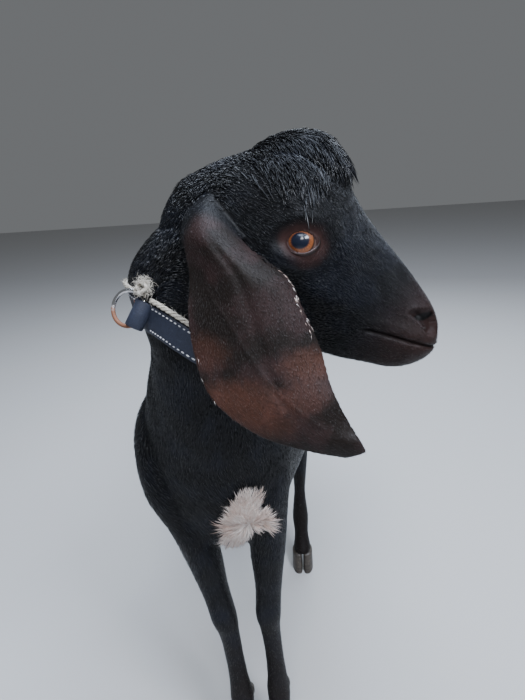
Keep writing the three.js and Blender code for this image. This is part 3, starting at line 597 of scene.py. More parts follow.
# %% [markdown]
# Now the skin is sculpted in code: every vertex moves along its normal by a sum of bells placed where a
# bone or muscle lies under the hide. It stays within a few millimetres, since the silhouette is set.

# %% Muscles and bones under the hide
# Each row is a place beside the midline, the bell's reach, its height, and where the midline runs there.
MUSCLES = {
    "shoulder muscle": ((62, 52, 470), (40, 26, 62), 3.2, -22),
    "groove behind the shoulder blade": ((66, 92, 470), (40, 12, 70), -3.4, -20),
    "point of the shoulder": ((50, 18, 400), (36, 22, 26), 2.6, -22),
    "hollow of the flank": ((84, 390, 500), (46, 34, 40), -5.5, 4),
    "hip bone": ((58, 448, 560), (18, 18, 14), 4.5, 7),
    "thigh muscle": ((70, 470, 470), (36, 44, 56), 3.4, 8),
    "stifle": ((66, 410, 352), (30, 26, 30), 3.0, 8),
    "pin bone": ((36, 540, 520), (14, 14, 12), 3.0, 10),
    "backbone": ((0, 300, 592), (7, 190, 14), 1.8, -10),
}
RIB_PITCH = 27
RIB_HEIGHT = 0.55

goat = unplace(read_points(body))
push = np.zeros(len(goat))
for (aside, y, z), reach, height, midline in MUSCLES.values():
    for side in (1, -1) if aside else (1,):
        away = (goat - [midline + side * aside, y, z]) / np.array(reach, float)
        push += height * np.exp(-(away**2).sum(-1))
side_on = ramp(np.abs(goat[:, 0] + 8), 50, 80) * ramp(goat[:, 2], 340, 400) * ramp(-goat[:, 2], -545, -500)
ribs = np.sin((goat[:, 1] + 0.35 * goat[:, 2]) * 2 * math.pi / RIB_PITCH)
push += RIB_HEIGHT * ribs * side_on * ramp(goat[:, 1], 110, 150) * ramp(-goat[:, 1], -330, -280)

# Tendons run down behind each cannon, and knees and hocks are bony.
KNEE_ROW = 6
HOCK_ROW = 7
TENDON_BEHIND = 3.5
for leg in LEGS:
    fore = leg.startswith("fore")
    joint_row = KNEE_ROW if fore else HOCK_ROW
    cannon = leg_station(leg, joint_row + 2)
    x, y, z = (goat - cannon).T
    near = bump(x, 24) * bump(y, 34)
    groove = bump(goat[:, 1] - (cannon[1] + TENDON_BEHIND), 3.4) * bump(z, 40)
    push -= 1.5 * groove * near
    x, y, z = (goat - leg_station(leg, joint_row)).T
    front = ramp(-y, -4, 8) if fore else ramp(y, 4, 16)
    push += 1.8 * front * bump(z, 18) * bump(x, 24) * bump(y, 34)
write_points(body, place(goat + read_normals(body) * push[:, None]))
print("sculpted by", push.min().round(1), "to", push.max().round(1), "mm")

# %% [markdown]
# The face gets finer touches. The parting of the lips and the nostrils are pressed in, a vein is raised
# along the ear, and a few wrinkles run round the lids. Inside the eye's slit the skin is tucked back behind
# the eyeball, which opens the lids with no cutting, and round it the skin hugs the ball.

# %% Lids, lips and nostrils in the skin
SLIT_LONG = 13.3
SLIT_UPPER = 10.0
SLIT_LOWER = 9.4
LID_SKIN_DEEP = 1.2
SLIT_TUCK = 1.6
LIDS_REACH = 26


def eye_axes(side):
    """Ways along the slit to the muzzle, up across it and out of the eye, in the head's frame."""
    along = np.array([math.cos(EYE_TILT), 0, math.sin(EYE_TILT)])
    out = unit([-0.13, side * 0.98, 0.18])
    along = unit(along - out * (along @ out))
    up = np.cross(along, out) * (1 if np.cross(along, out)[2] > 0 else -1)
    return along, unit(up), out


def eye_view(points, side):
    """The way from the eye's middle to each point, and how far along, up and out of the slit that is."""
    along, up, out = eye_axes(side)
    away = points - eye_at(side)
    return away, away @ along, away @ up, away @ out


def slit_outline(theta):
    """The lens between the lids: how far along and how far up, for each angle round it."""
    u = SLIT_LONG * np.cos(theta)
    upper = SLIT_UPPER * np.abs(np.sin(theta)) ** 1.15 * (1 + 0.12 * np.cos(theta + 0.6))
    lower = SLIT_LOWER * np.abs(np.sin(theta)) ** 1.2 * (1 + 0.1 * np.cos(theta))
    return u, np.where(np.sin(theta) >= 0, upper, -lower)


def in_slit(u, w):
    """Less than one inside the slit, more than one outside."""
    theta = np.arctan2(w / np.where(w > 0, SLIT_UPPER, SLIT_LOWER), u / SLIT_LONG)
    edge_u, edge_w = slit_outline(theta)
    return np.hypot(u, w) / np.maximum(np.hypot(edge_u, edge_w), 1e-6)


goat = unplace(read_points(head))
local = to_head(goat)
normal = read_normals(head) @ HEAD_AXES.T
x, y, z = local.T
on_ear = (np.abs(y) > 50) | (z < -100)
flank = ramp(np.abs(y), 4, 14)
lips_here = ramp(x, 146, 156) * ~on_ear
from_mouth = z - mouth_level(x)
faces_out = ramp(np.abs(normal[:, 1]) + np.abs(normal[:, 0]), 0.2, 0.5)
crease = bump(from_mouth, 1.25) * lips_here * faces_out
push = -2.6 * crease
push += 0.7 * bump(from_mouth - 3.6, 2.2) * lips_here * flank
push += 0.5 * bump(from_mouth + 3.8, 2.4) * lips_here * flank
corner = np.hypot(x - 146, z + 26.5) + 40 * on_ear
push += 1.2 * bump(corner, 5) - 0.7 * bump(corner - 8.5, 2.2) * ramp(-x, -146, -140)

# The nostril is a row of bells along a comma, and the vein a ridge along the ear, both given by x and z.
NOSTRIL = [(171, 3.4, 0.9), (177, 6.4, 2.0), (184, 7.4, 3.2), (190, 5.4, 3.6), (195, 1.8, 2.4)]
NOSTRIL_DEEP = 6.4
VEIN = [(40, -59), (68, -69), (86, -77), (111, -87), (134, -92), (168, -95)]
VEIN_HIGH = 0.45
for at_x, at_z, radius in spline(NOSTRIL, np.linspace(0, 1, 40)):
    hole = bump(np.hypot(x - at_x, z - at_z), radius) * (np.abs(y) > 8) * ~on_ear
    push = np.minimum(push, push * (1 - hole) - NOSTRIL_DEEP * hole * ramp(x, 170, 178))
vein = spline(VEIN, np.linspace(0, 1, 90))
ridge = np.max([bump(np.hypot(x - at_x, z - at_z), 1.9) for at_x, at_z in vein], axis=0)
push += VEIN_HIGH * ridge * on_ear
push += 1.3 * bump(np.hypot(x - 183, z - 14.5) / 1.5, 4) * flank * (x > 160) * ~on_ear
philtrum = bump(y, 1.2) * ramp(x, 196, 201) * ramp(z, -7, -4)
push -= 1.5 * philtrum

for side in (1, -1):
    away, u, w, depth = eye_view(local, side)
    facing = (depth > 2) & (np.linalg.norm(away, axis=1) < LIDS_REACH)
    ring = in_slit(u, w)
    push -= facing * (w > -2) * 0.9 * bump((ring - 1.95) * 9, 1.6)
    push += facing * (w > 2) * 1.2 * bump((ring - 2.35) * 9, 3.0)
    push -= facing * (w < 0) * 0.6 * bump((ring - 1.95) * 9, 2.0)
local = local + normal * push[:, None]
LID_FLOOR = EYE_RADIUS + LID_SKIN_DEEP
for side in (1, -1):
    middle = eye_at(side)
    away, u, w, depth = eye_view(local, side)
    ring = in_slit(u, w)
    near = (depth > -6) & (np.linalg.norm(away, axis=1) < 30)
    hug = near * (1 - ramp(ring, 1.1, 1.85))
    reach = LID_FLOOR - 1.2 * bump(ring - 1.5, 0.2) * (w > -5) + 1.5 * ramp(ring, 1.55, 1.85)
    local = mix(local, middle + unit(away) * reach[:, None], hug[:, None])
    away = local - middle
    sunk = near & (np.linalg.norm(away, axis=1) < LID_FLOOR - 0.2)
    local[sunk] = middle + unit(away[sunk]) * LID_FLOOR
    inside = (ring < 1.04) & near
    local[inside] = middle + unit(away[inside]) * (EYE_RADIUS - SLIT_TUCK)
write_points(head, place(from_head(local)))
print("face touched up; slit points tucked in")

# %% [markdown]
# Skin and coat carry the same markings, so both read one colour function. It works on the place where a
# hair is rooted, kept on every vertex as an attribute, and a tuft therefore has one marking to its tip; the
# coat then paints each tuft darker towards its root as painted shade. The class below lets a mask be written
# as plain arithmetic: each operator adds the Math node it stands for.

# %% Materials written as expressions
def operator(operation, swapped=False):
    """A Python operator that adds the Math node of that name."""

    def method(self, other):
        first, second = (other, self) if swapped else (self, other)
        return self.math(operation, first, second)

    return method


class Wire:
    """A number, colour or vector flowing through a material."""

    def __init__(self, paint, socket):
        self.paint = paint
        self.socket = socket
        self.many = socket.type in ("VECTOR", "RGBA")

    def math(self, operation, first, second=None):
        operands = [first] if second is None else [first, second]
        many = any(isinstance(o, Wire) and o.many for o in operands)
        kind = "ShaderNodeVectorMath" if many else "ShaderNodeMath"
        made = self.paint.tree.nodes.new(kind)
        made.operation = operation
        for socket, value in zip(made.inputs, operands):
            if many and isinstance(value, (int, float)):
                value = (value, value, value)
            self.paint.feed(socket, value)
        return Wire(self.paint, made.outputs[0])

    __add__ = operator("ADD")
    __sub__ = operator("SUBTRACT")
    __rsub__ = operator("SUBTRACT", swapped=True)
    __mul__ = operator("MULTIPLY")
    __truediv__ = operator("DIVIDE")
    __pow__ = operator("POWER")

    def dot(self, other):
        made = self.math("DOT_PRODUCT", self, other)
        return Wire(self.paint, made.socket.node.outputs["Value"])

    def length(self):
        made = self.math("LENGTH", self)
        return Wire(self.paint, made.socket.node.outputs["Value"])

    def between(self, low, high):
        """A smooth step from 0 at low to 1 at high."""
        return self.paint.node(
            "ShaderNodeMapRange",
            {"interpolation_type": "SMOOTHSTEP"},
            {"Value": self, "From Min": low, "From Max": high},
        )


class Paint:
    """A material under construction."""

    def __init__(self, name):
        self.material = bpy.data.materials.new(name)
        self.material.use_nodes = True
        self.tree = self.material.node_tree
        self.tree.nodes.clear()

    def feed(self, socket, value):
        if isinstance(value, Wire):
            self.tree.links.new(value.socket, socket)
        elif socket.type == "RGBA" and len(value) == 3:
            socket.default_value = (*value, 1)
        else:
            socket.default_value = value

    def node(self, kind, settings=None, values=None, output=0):
        """Any node: its settings are set first, then its sockets."""
        made = self.tree.nodes.new(kind)
        for key, value in (settings or {}).items():
            setattr(made, key, value)
        for key, value in (values or {}).items():
            self.feed(made.inputs[key], value)
        return Wire(self, made.outputs[output])

    def blend(self, mask, first, second):
        """First colour where the mask is 0, second where it is 1."""
        made = self.tree.nodes.new("ShaderNodeMix")
        made.data_type = "RGBA"
        for index, value in ((0, mask), (6, first), (7, second)):
            self.feed(made.inputs[index], value)
        return Wire(self, made.outputs[2])

    def noise(self, at, scale, detail=3, roughness=0.5):
        sockets = {"Vector": at, "Scale": scale, "Detail": detail, "Roughness": roughness}
        return self.node("ShaderNodeTexNoise", None, sockets)

    def here(self):
        """Where the shaded point itself is, in metres."""
        return self.node("ShaderNodeNewGeometry", output=0)

    def root(self):
        """Where the hair at this point is rooted, in metres."""
        return self.node("ShaderNodeAttribute", {"attribute_name": "root"}, output=1)

    def spot(self, at, middle, reach):
        """0 in the middle of an ellipsoid, 1 at its edge and more outside."""
        return ((at - tuple(place(middle))) / tuple(np.array(reach, float) * MM)).length()

    def finish(self, values, bump_from=None, strength=0.3, distance=0.0004):
        """Ends the material in one Principled shader, with an optional bump."""
        shader = self.tree.nodes.new("ShaderNodeBsdfPrincipled")
        for key, value in values.items():
            self.feed(shader.inputs[key], value)
        if bump_from is not None:
            sockets = {"Height": bump_from, "Strength": strength, "Distance": distance}
            self.feed(shader.inputs["Normal"], self.node("ShaderNodeBump", None, sockets))
        output = self.tree.nodes.new("ShaderNodeOutputMaterial")
        self.tree.links.new(shader.outputs[0], output.inputs[0])
        return self.material


# %% [markdown]
# The coat is black with a blue gloss, browner on the muzzle, the ears and the legs. Blue-black patches laid
# by noise paint the blue sheen into its colour. Reddish patches show on the ears and round the eyes, and the
# brisket has one patch of long cream hair, mixed by noise with a rose-beige painted shade of it. The hole of
# each nostril is painted near black as painted shade. Broken edges come from noise added to each mask.

# %% Colours of the coat
BLACK = (0.0036, 0.0037, 0.0046)
# Blue-black, laid in patches by noise, is a painted blue sheen on the black coat.
BLUE_SHEEN_BLACK = (0.0065, 0.0078, 0.0125)
BROWN_BLACK = (0.0105, 0.0068, 0.0052)
CHOCOLATE = (0.026, 0.0135, 0.0115)
EAR_BROWN = (0.027, 0.0145, 0.0135)
RUSSET = (0.092, 0.036, 0.023)
LID_RED = (0.046, 0.020, 0.017)
CREAM = (0.90, 0.83, 0.78)
# The cream hair's rose-beige tone in shade, used as painted shade among the locks.
PAINTED_CREAM_SHADE = (0.66, 0.48, 0.40)
# Near black painted into the nostrils' holes as painted shade.
NOSTRIL_SHADE_BLACK = (0.0012, 0.001, 0.001)
PATCH_AT = (1, -24, 376)
BIB_REACH = (15, 60, 30)
# Each row is a patch's middle on the left ear, its reach, and how strongly it shows.
EAR_PATCHES = [
    ((104, -83, -114), (38, 30, 20), 0.62),
    ((62, -78, -96), (20, 30, 16), 0.4),
    ((128, -80, -118), (26, 26, 14), 0.5),
    ((132, -67, -60), (26, 24, 14), 0.55),
    ((141, -76, -84), (22, 24, 14), 0.35),
]


def coat_colour(paint, at):
    """The animal's markings at a place in metres."""
    cloud = paint.noise(at, 34, 4)
    fleck = paint.noise(at, 420, 3)
    mottle = cloud * 0.5 + paint.noise(at, 150, 4, 0.65) * 0.5
    # Noise lays blue-black patches over the black: a painted blue sheen.
    colour = paint.blend(cloud.between(0.42, 0.68), BLACK, BLUE_SHEEN_BLACK)
    low = (at.dot((0, 0, 1)) + cloud * 0.08).between(0.30, 0.12)
    colour = paint.blend(low * 0.7, colour, BROWN_BLACK)
    local = at - tuple(place(HEAD_ORIGIN))
    along = local.dot(tuple(MUZZLE_WAY)) / MM
    aside = (local.dot(tuple(LEFT_WAY)) ** 2) ** 0.5 / MM
    height = local.dot(tuple(HEAD_AXES[2])) / MM
    nose = (along + (cloud - 0.5) * 40).between(140, 192) * height.between(-80, -60)
    colour = paint.blend(nose * 0.9, colour, CHOCOLATE)
    on_ear = (aside + (cloud - 0.5) * 10).between(50, 60) * along.between(-40, -10)
    on_ear = on_ear * aside.between(100, 92) * height.between(-142, -132)
    colour = paint.blend(on_ear, colour, paint.blend(cloud.between(0.4, 0.6), EAR_BROWN, BROWN_BLACK))
    for side in (1, -1):
        for middle, reach, strength in EAR_PATCHES:
            edge = paint.spot(at, from_head(np.array(middle) * [1, side, 1]), reach) + (mottle - 0.5) * 1.5
            colour = paint.blend((edge * -1 + 1.25).between(0, 0.9) * on_ear * strength, colour, RUSSET)
        lids = paint.spot(at, from_head(eye_at(side)), (21, 21, 21)) + (cloud - 0.5) * 0.5
        colour = paint.blend((1.12 - lids).between(0, 0.35) * 0.75, colour, LID_RED)
        # The nostril's hole is painted near black: a painted shade in the recess.
        nostril = paint.spot(at, from_head((184, side * 15, 7.2)), (9, 12, 3.4))
        colour = paint.blend((nostril * -1 + 1.1).between(0, 0.3), colour, NOSTRIL_SHADE_BLACK)
    patch = paint.spot(at, PATCH_AT, BIB_REACH) + (paint.noise(at, 60, 3) - 0.5) * 0.5
    # Noise mixes the cream with its own tone in shade: painted shade among the locks.
    bib = paint.blend(fleck.between(0.35, 0.7), CREAM, PAINTED_CREAM_SHADE)
    colour = paint.blend((patch * -1 + 1.06).between(0, 0.12), colour, bib)
    return paint.blend(fleck.between(0.3, 0.75) * 0.35, colour, colour * 1.8)


def skin_finish():
    paint = Paint("hide")
    at = paint.root()
    strands = paint.noise(at, 900, 3, 0.65)
    colour = coat_colour(paint, at)
    rough = strands.between(0.2, 0.9) * 0.2 + 0.44
    values = {"Base Color": colour * 0.8, "Roughness": rough, "Specular IOR Level": 0.18}
    return paint.finish(values, strands, 0.35, 0.0006)


def coat_finish():
    paint = Paint("coat")
    at = paint.root()
    shade = paint.node("ShaderNodeAttribute", {"attribute_name": "shade"}, output=2)
    # The shade attribute gives each tuft a random tone and paints it darker towards its root: painted shade
    # among the hairs.
    colour = coat_colour(paint, at) * (shade * 0.9 + 0.55)
    # Pale hairs mix cream with the same painted shade of it, by noise.
    painted_shade_patches = paint.noise(at, 260, 3).between(0.35, 0.7)
    colour = paint.blend(shade.between(1.5, 1.6), colour, paint.blend(painted_shade_patches, CREAM, PAINTED_CREAM_SHADE))
    values = {"Base Color": colour, "Roughness": shade * 0.1 + 0.21, "Specular IOR Level": 0.54}
    return paint.finish(values)


HIDE = skin_finish()
COAT = coat_finish()
print("coat materials ready")

# %% [markdown]
# Three small helpers hand a piece its attributes and its finish, and hang it under the root. The flesh of ten
# nodes is shown by one skin, so they are listed once.

# %% Helpers that settle a piece
FLESH = ["torso", "neck", "head", "tail", "ear_left", "ear_right", *LEGS]


def set_vectors(obj, name, vectors):
    attribute = obj.data.attributes.new(name, "FLOAT_VECTOR", "POINT")
    attribute.data.foreach_set("vector", np.asarray(vectors, np.float32).ravel())


def set_values(obj, name, values):
    attribute = obj.data.attributes.new(name, "FLOAT", "POINT")
    attribute.data.foreach_set("value", np.asarray(values, np.float32).ravel())


def settle(obj, material, slot, *nodes):
    """Gives a piece its finish and hides the solids it stands for. The slot is not used."""
    obj.data.materials.clear()
    obj.data.materials.append(material)
    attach(obj, "root")
    if nodes:
        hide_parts(*nodes)


# %% [markdown]
# The strap runs in a slanted slice of space round the neck. Its numbers come here already, since no hair
# grows under it.

# %% The collar's slice
COLLAR_WIDTH = 24
COLLAR_THICKNESS = 3.2
STRAP_SINK = 0.6
COLLAR_POINT = np.array([-44, -24, 590])
COLLAR_WAY = unit([0.5, 0.24, 0.83])
COLLAR_FAR_WAY = unit([0.47, -0.08, 0.87])
FOLD_ANGLE = 2.85

COLLAR_MIDDLE, across, upright = (part[0] for part in trunk_frame(np.array([station("collar")]))[:3])
COLLAR_RIGHT = unit(across - COLLAR_WAY * (across @ COLLAR_WAY))
COLLAR_UP = np.cross(COLLAR_WAY, COLLAR_RIGHT)
if COLLAR_UP @ upright < 0:
    COLLAR_UP = -COLLAR_UP
print("middle of the collar in mm:", COLLAR_MIDDLE.round(1))

# %% [markdown]
# Fur is made of many small closed spikes. Each has a flat three-cornered root and narrows to a point, and
# the longer ones bend on the way. The root is sunk a little into the skin, and every tuft is rolled by a
# random angle, so that the hairs catch the light one by one. All are worked out at once as arrays and
# written into a mesh in one go, which is far quicker than a loop. The map named OFBake gives each tuft a
# small patch of its own on the unwrapped skin.

# %% A mesh of tufts
PATCH = 0.003
LONG_SINK = 0.6
SHORT_SINK = 0.12
ROLL = 0.4
EAR_ROLL = 0.12
# The coat's material shows a hair as cream where its shade is above 1.6, which only this mark brings about.
PALE_MARK = 2.0
CORNER_PAIRS = ((0, 1), (1, 2), (2, 0))


def tuft_mesh(name, points, faces, patch_places):
    """A smooth mesh from arrays, with one place on the bake map for each point."""
    mesh = bpy.data.meshes.new(name)
    mesh.vertices.add(len(points))
    mesh.vertices.foreach_set("co", points.astype(np.float32).ravel())
    mesh.loops.add(faces.size)
    mesh.loops.foreach_set("vertex_index", faces.astype(np.int32).ravel())
    mesh.polygons.add(len(faces))
    mesh.polygons.foreach_set("loop_start", np.arange(0, faces.size, 3, dtype=np.int32))
    mesh.polygons.foreach_set("use_smooth", np.ones(len(faces), bool))
    mesh.update(calc_edges=True)
    layer = mesh.uv_layers.new(name="OFBake")
    layer.data.foreach_set("uv", patch_places[faces.ravel()].astype(np.float32).ravel())
    made = bpy.data.objects.new(name, mesh)
    bpy.context.scene.collection.objects.link(made)
    return made


def tufts(name, roots, normals, flow, length, width, lift, patch_at,
          bends=1, curl=0.0, droop=0.0, pale=0.0, roll=ROLL):
    """One piece of coat: a spike for each root, with as many bends as asked, and its attributes."""
    count = len(roots)
    rings = bends + 1
    s = np.linspace(0, 1, rings + 1)[None, :, None]
    sizes = (length, width, lift, curl)
    length, width, lift, curl = (np.broadcast_to(a, count)[:, None, None] for a in sizes)
    sink = LONG_SINK if bends else SHORT_SINK
    roll = roll * rng.normal(0, 1, (count, 1))
    side = unit(np.cross(flow, normals)) * np.cos(roll) + normals * np.sin(roll)
    spine = roots[:, None] + flow[:, None] * length * s
    spine = spine + normals[:, None] * (lift * np.sin(math.pi * 0.62 * s) - sink * (1 - s) ** 3)
    spine = spine + side[:, None] * curl * length * s**2 + np.array([0, 0, -1]) * droop * length * s**2
    wide = width * (0.7 + 1.2 * s * (1 - s)) * (1 - s) ** 0.6 / 2
    corners = np.stack([
        spine - side[:, None] * wide,
        spine + side[:, None] * wide,
        spine + normals[:, None] * wide * 0.7,
    ], 2)[:, :rings].reshape(count, -1, 3)
    points = np.concatenate([corners, spine[:, -1:]], 1)
    each = points.shape[1]
    faces = [(0, 1, 2)]
    for k in range(0, 3 * (rings - 1), 3):
        for a, b in CORNER_PAIRS:
            faces += [(k + b, k + a, k + 3 + a), (k + b, k + 3 + a, k + 3 + b)]
    last = 3 * (rings - 1)
    faces += [(last + b, last + a, each - 1) for a, b in CORNER_PAIRS]
    faces = np.array(faces)[None] + each * np.arange(count)[:, None, None]
    along = np.append(np.repeat(s[0, :-1, 0], 3), 1)
    aside = np.append(np.tile([-1, 1, 0.2], rings) * np.repeat(1 - 0.6 * s[0, :-1, 0], 3), 0)
    raised = np.append(np.tile([0, 0, 0.15], rings), 0)
    patch = np.stack([aside / 2, along * 0.85 + raised], -1) * PATCH
    places = patch_at[:, None] + patch[None]
    obj = tuft_mesh(name, place(points.reshape(-1, 3)), faces.reshape(-1, 3), places.reshape(-1, 2))
    # A random tone for each tuft, darker towards the root and lighter at the tip as painted shade among the
    # hairs.
    shade = rng.uniform(0, 0.7, (count, 1)) + 0.3 * along[None]
    shade = shade + PALE_MARK * np.broadcast_to(pale, count)[:, None]
    set_vectors(obj, "root", np.repeat(place(roots), each, 0))
    set_values(obj, "shade", shade)
    settle(obj, COAT, "coat")
    TALLY[name] = faces.size // 3


def unwrap(points, middle, axis):
    """A cylinder's unwrap: the angle round an axis, and the height along it, both inside 0 to 1."""
    axis = unit(axis)
    first = unit(np.cross(axis, (0.3, 0.8, 0.52)))
    second = np.cross(axis, first)
    away = points - np.array(middle, float)
    height = away @ axis
    low, high = height.min(), height.max()
    round_it = np.arctan2(away @ second, away @ first) / (2 * math.pi) + 0.5
    return np.stack([0.01 + 0.98 * round_it, 0.01 + 0.97 * (height - low) / max(high - low, 1)], -1)


def wander(points, size, seed):
    """A slow random swing between about -1 and 1, with swells of the given size."""
    dice = np.random.default_rng(seed)
    waves = dice.normal(0, 1, (7, 3)) / size
    return np.sin(points @ waves.T * 2 * math.pi + dice.uniform(0, 6.28, 7)).mean(-1) * 1.7


def tangent(flow, normals):
    return unit(flow - normals * (flow * normals).sum(-1, keepdims=True))


def turned_flow(flow, normals, angle):
    """Flow turned within the skin by an angle for each root."""
    angle = np.reshape(angle, (-1, 1))
    return flow * np.cos(angle) + np.cross(normals, flow) * np.sin(angle)


# %% [markdown]
# Roots are sown evenly over the skin. Every face gets a share of the tufts by its area and by how dense the
# coat is there, and each root falls at random inside its face. No hair grows on the eye, on the nose or
# under the strap.

# %% Sow the roots
BODY_COUNT = 60000
HEAD_COUNT = 74000
NECK_BALL = 75
BARE_RING = 1.28
BARE_BELOW_STRAP = 10.5
BARE_ABOVE_STRAP = 11
EAR_ROWS = 60
EAR_COLUMNS = 14
TALLY = {}
rng = np.random.default_rng(SEED)


def quads_of(obj):
    flat = np.empty(len(obj.data.loops), np.int32)
    obj.data.loops.foreach_get("vertex_index", flat)
    return flat.reshape(-1, 4)


def sow(points, normals, quads, weight, count):
    """Roots and normals of about as many tufts as asked, spread by area times weight."""
    a, b, c, d = (points[quads[:, k]] for k in range(4))
    area = np.linalg.norm(np.cross(c - a, d - b), axis=1) / 2
    share = np.cumsum(area * weight)
    picks = (np.arange(count) + rng.uniform(0, 1, count)) / count * share[-1]
    face = np.searchsorted(share, picks)
    u, v = rng.uniform(0, 1, (2, count, 1))
    corners = [quads[face, k] for k in range(4)]
    blend = [(1 - u) * (1 - v), u * (1 - v), u * v, (1 - u) * v]
    root = sum(points[k] * w for k, w in zip(corners, blend))
    return root, unit(sum(normals[k] * w for k, w in zip(corners, blend)))


def strap_shift(points):
    """How far along the neck a point lies from the strap's middle, in millimetres."""
    away = points - COLLAR_MIDDLE
    right, up = away @ COLLAR_RIGHT, away @ COLLAR_UP
    turn_share = (1 + right / np.maximum(np.hypot(right, up), 1e-6)) / 2
    way = unit(mix(COLLAR_WAY, COLLAR_FAR_WAY, turn_share[:, None]))
    return ((points - COLLAR_POINT) * way).sum(-1)


def on_neck(points):
    return np.linalg.norm(points - COLLAR_MIDDLE, axis=1) < NECK_BALL


def shape_of(obj):
    points = unplace(read_points(obj))
    return points, read_normals(obj), quads_of(obj)


def ear_samples(side):
    """Places over an ear's sheet, with the way from root to tip at each."""
    rings = ear_rings(side, EAR_ROWS, EAR_COLUMNS)
    along = unit(np.gradient(rings, axis=0))
    return rings.reshape(-1, 3), along.reshape(-1, 3)


def sheet_tree(places):
    tree = KDTree(len(places))
    for index, at in enumerate(places):
        tree.insert(at, index)
    tree.balance()
    return tree


EARS = {}
for side, name in ((1, "ear_left"), (-1, "ear_right")):
    places, ways = ear_samples(side)
    EARS[name] = (sheet_tree(places), ways, side)
SKULL_TREE = sheet_tree(head_rings(70, 60, FACE_COAT).reshape(-1, 3))


def nearest(tree, points):
    """Index and distance of the nearest sample for each point."""
    found = [tree.find(p)[1:] for p in points]
    return np.array([f[0] for f in found]), np.array([f[1] for f in found])


# A weight for every face tells where the coat is denser, thinner or absent.
points, normals, quads = shape_of(body)
middles = points[quads].mean(1)
leg_share = ramp(-middles[:, 2], -300, -200)
weight = 1 + 0.8 * leg_share + 0.9 * ramp(-middles[:, 1], -160, -60)
weight *= np.where(on_neck(middles) & (strap_shift(middles) > -BARE_BELOW_STRAP), 0, 1)
weight *= np.where(middles[:, 2] < SEAM_Z + 1, 0, 1)
body_root, body_normal = sow(points, normals, quads, weight, BODY_COUNT)

points, normals, quads = shape_of(head)
middles = points[quads].mean(1)
local = to_head(middles)
weight = 1 + 1.0 * ramp(local[:, 0], 60, 110) * (np.abs(local[:, 1]) < 50)
weight *= np.where(on_neck(middles) & (strap_shift(middles) < BARE_ABOVE_STRAP), 0, 1)
for side in (1, -1):
    away, u, w, depth = eye_view(local, side)
    weight *= np.where((np.linalg.norm(away, axis=1) < LIDS_REACH) & (in_slit(u, w) < BARE_RING), 0, 1)
x, y, z = local.T
for at_x, at_z, radius in spline(NOSTRIL, np.linspace(0, 1, 12)):
    weight *= np.where((np.hypot(x - at_x, z - at_z) < radius + 1.2) & (x > 168), 0, 1)
weight *= np.where(x > 192, 0.35, 1)
weight *= np.where((np.abs(z - mouth_level(x)) < 1.6) & (x > 148), 0, 1)
head_root, head_normal = sow(points, normals, quads, weight, HEAD_COUNT)
print("sown", len(body_root), "roots on the body and", len(head_root), "on the head")

# %% [markdown]
# The lie of the coat is a field of directions. It runs back along the trunk, down the neck and legs, from
# the nose up over the face, and from root to tip on the ears. Every direction is laid flat on the skin, and
# a slow wander turns it a little, so that the coat parts and swirls as a real one does.

# %% Lay the body's coat
BODY_AXIS = ((-8, 0, 440), (0, 1, 0))
BODY_LONG = 10.5
LEG_LONG = 5.2


def body_flow(p):
    x, y, z = p.T
    trunk = ramp(y, 50, 150) * ramp(z, 290, 350)
    thigh = ramp(y, 380, 450) * ramp(-z, -560, -470)
    sideways = ramp(np.abs(x + 8), 30, 75)
    zero = 0 * x
    backward = np.stack([zero, 1 + zero, -0.25 - 0.5 * sideways], -1)
    downward = np.stack([zero, 0.22 + zero, -1 + zero], -1)
    chest = bump(y + 30, 45) * ramp(z, 320, 360) * ramp(-z, -470, -420)
    inward = np.stack([(PATCH_AT[0] - x) * 0.012, zero, -0.7 + zero], -1)
    flow = mix(downward, backward, (trunk * (1 - 0.65 * thigh))[:, None])
    return mix(flow, inward, chest[:, None])


def lay(areas, coat, pale):
    """Tufts for every area in turn; a root goes to the first area that claims it."""
    taken = np.zeros(len(pale), bool)
    for name, (here, middle, axis, bends) in areas.items():
        mine = here & ~taken
        taken |= mine
        parts = [values[mine] for values in coat]
        roll = EAR_ROLL if name.startswith("coat_ear") else ROLL
        tufts(name, *parts, unwrap(parts[0], middle, axis), bends=bends, pale=pale[mine], roll=roll)


x, y, z = body_root.T
flow = tangent(body_flow(body_root), body_normal)
swing = 0.30 * wander(body_root, 95, 1) + 0.16 * wander(body_root, 26, 2) + rng.normal(0, 0.08, len(x))
flow = turned_flow(flow, body_normal, swing)
on_leg = ramp(-z, -330, -230)
long = mix(BODY_LONG, LEG_LONG, on_leg) * mix(1, 0.6, ramp(-z, -120, -70))
long *= 1 + 0.35 * ramp(y, 470, 540) + 0.3 * ramp(-np.abs(z - 300), -30, -8) * ramp(y, 90, 160)
long *= rng.uniform(0.72, 1.25, len(x))
wide = mix(mix(1.15, 0.85, ramp(-y, -160, -60)), 0.7, on_leg) * rng.uniform(0.7, 1.3, len(x))
raise_by = mix(0.95, 0.6, on_leg) * rng.uniform(0.4, 1.35, len(x))
near_strap = on_neck(body_root) & (strap_shift(body_root) > -34)
raise_by = np.where(near_strap, raise_by * 0.5, raise_by)

tail_here = (y > 520) & (np.abs(x - 10) < 24) & ((y > 556) | (z > 566))
legs_here = (z < 300) & ~tail_here
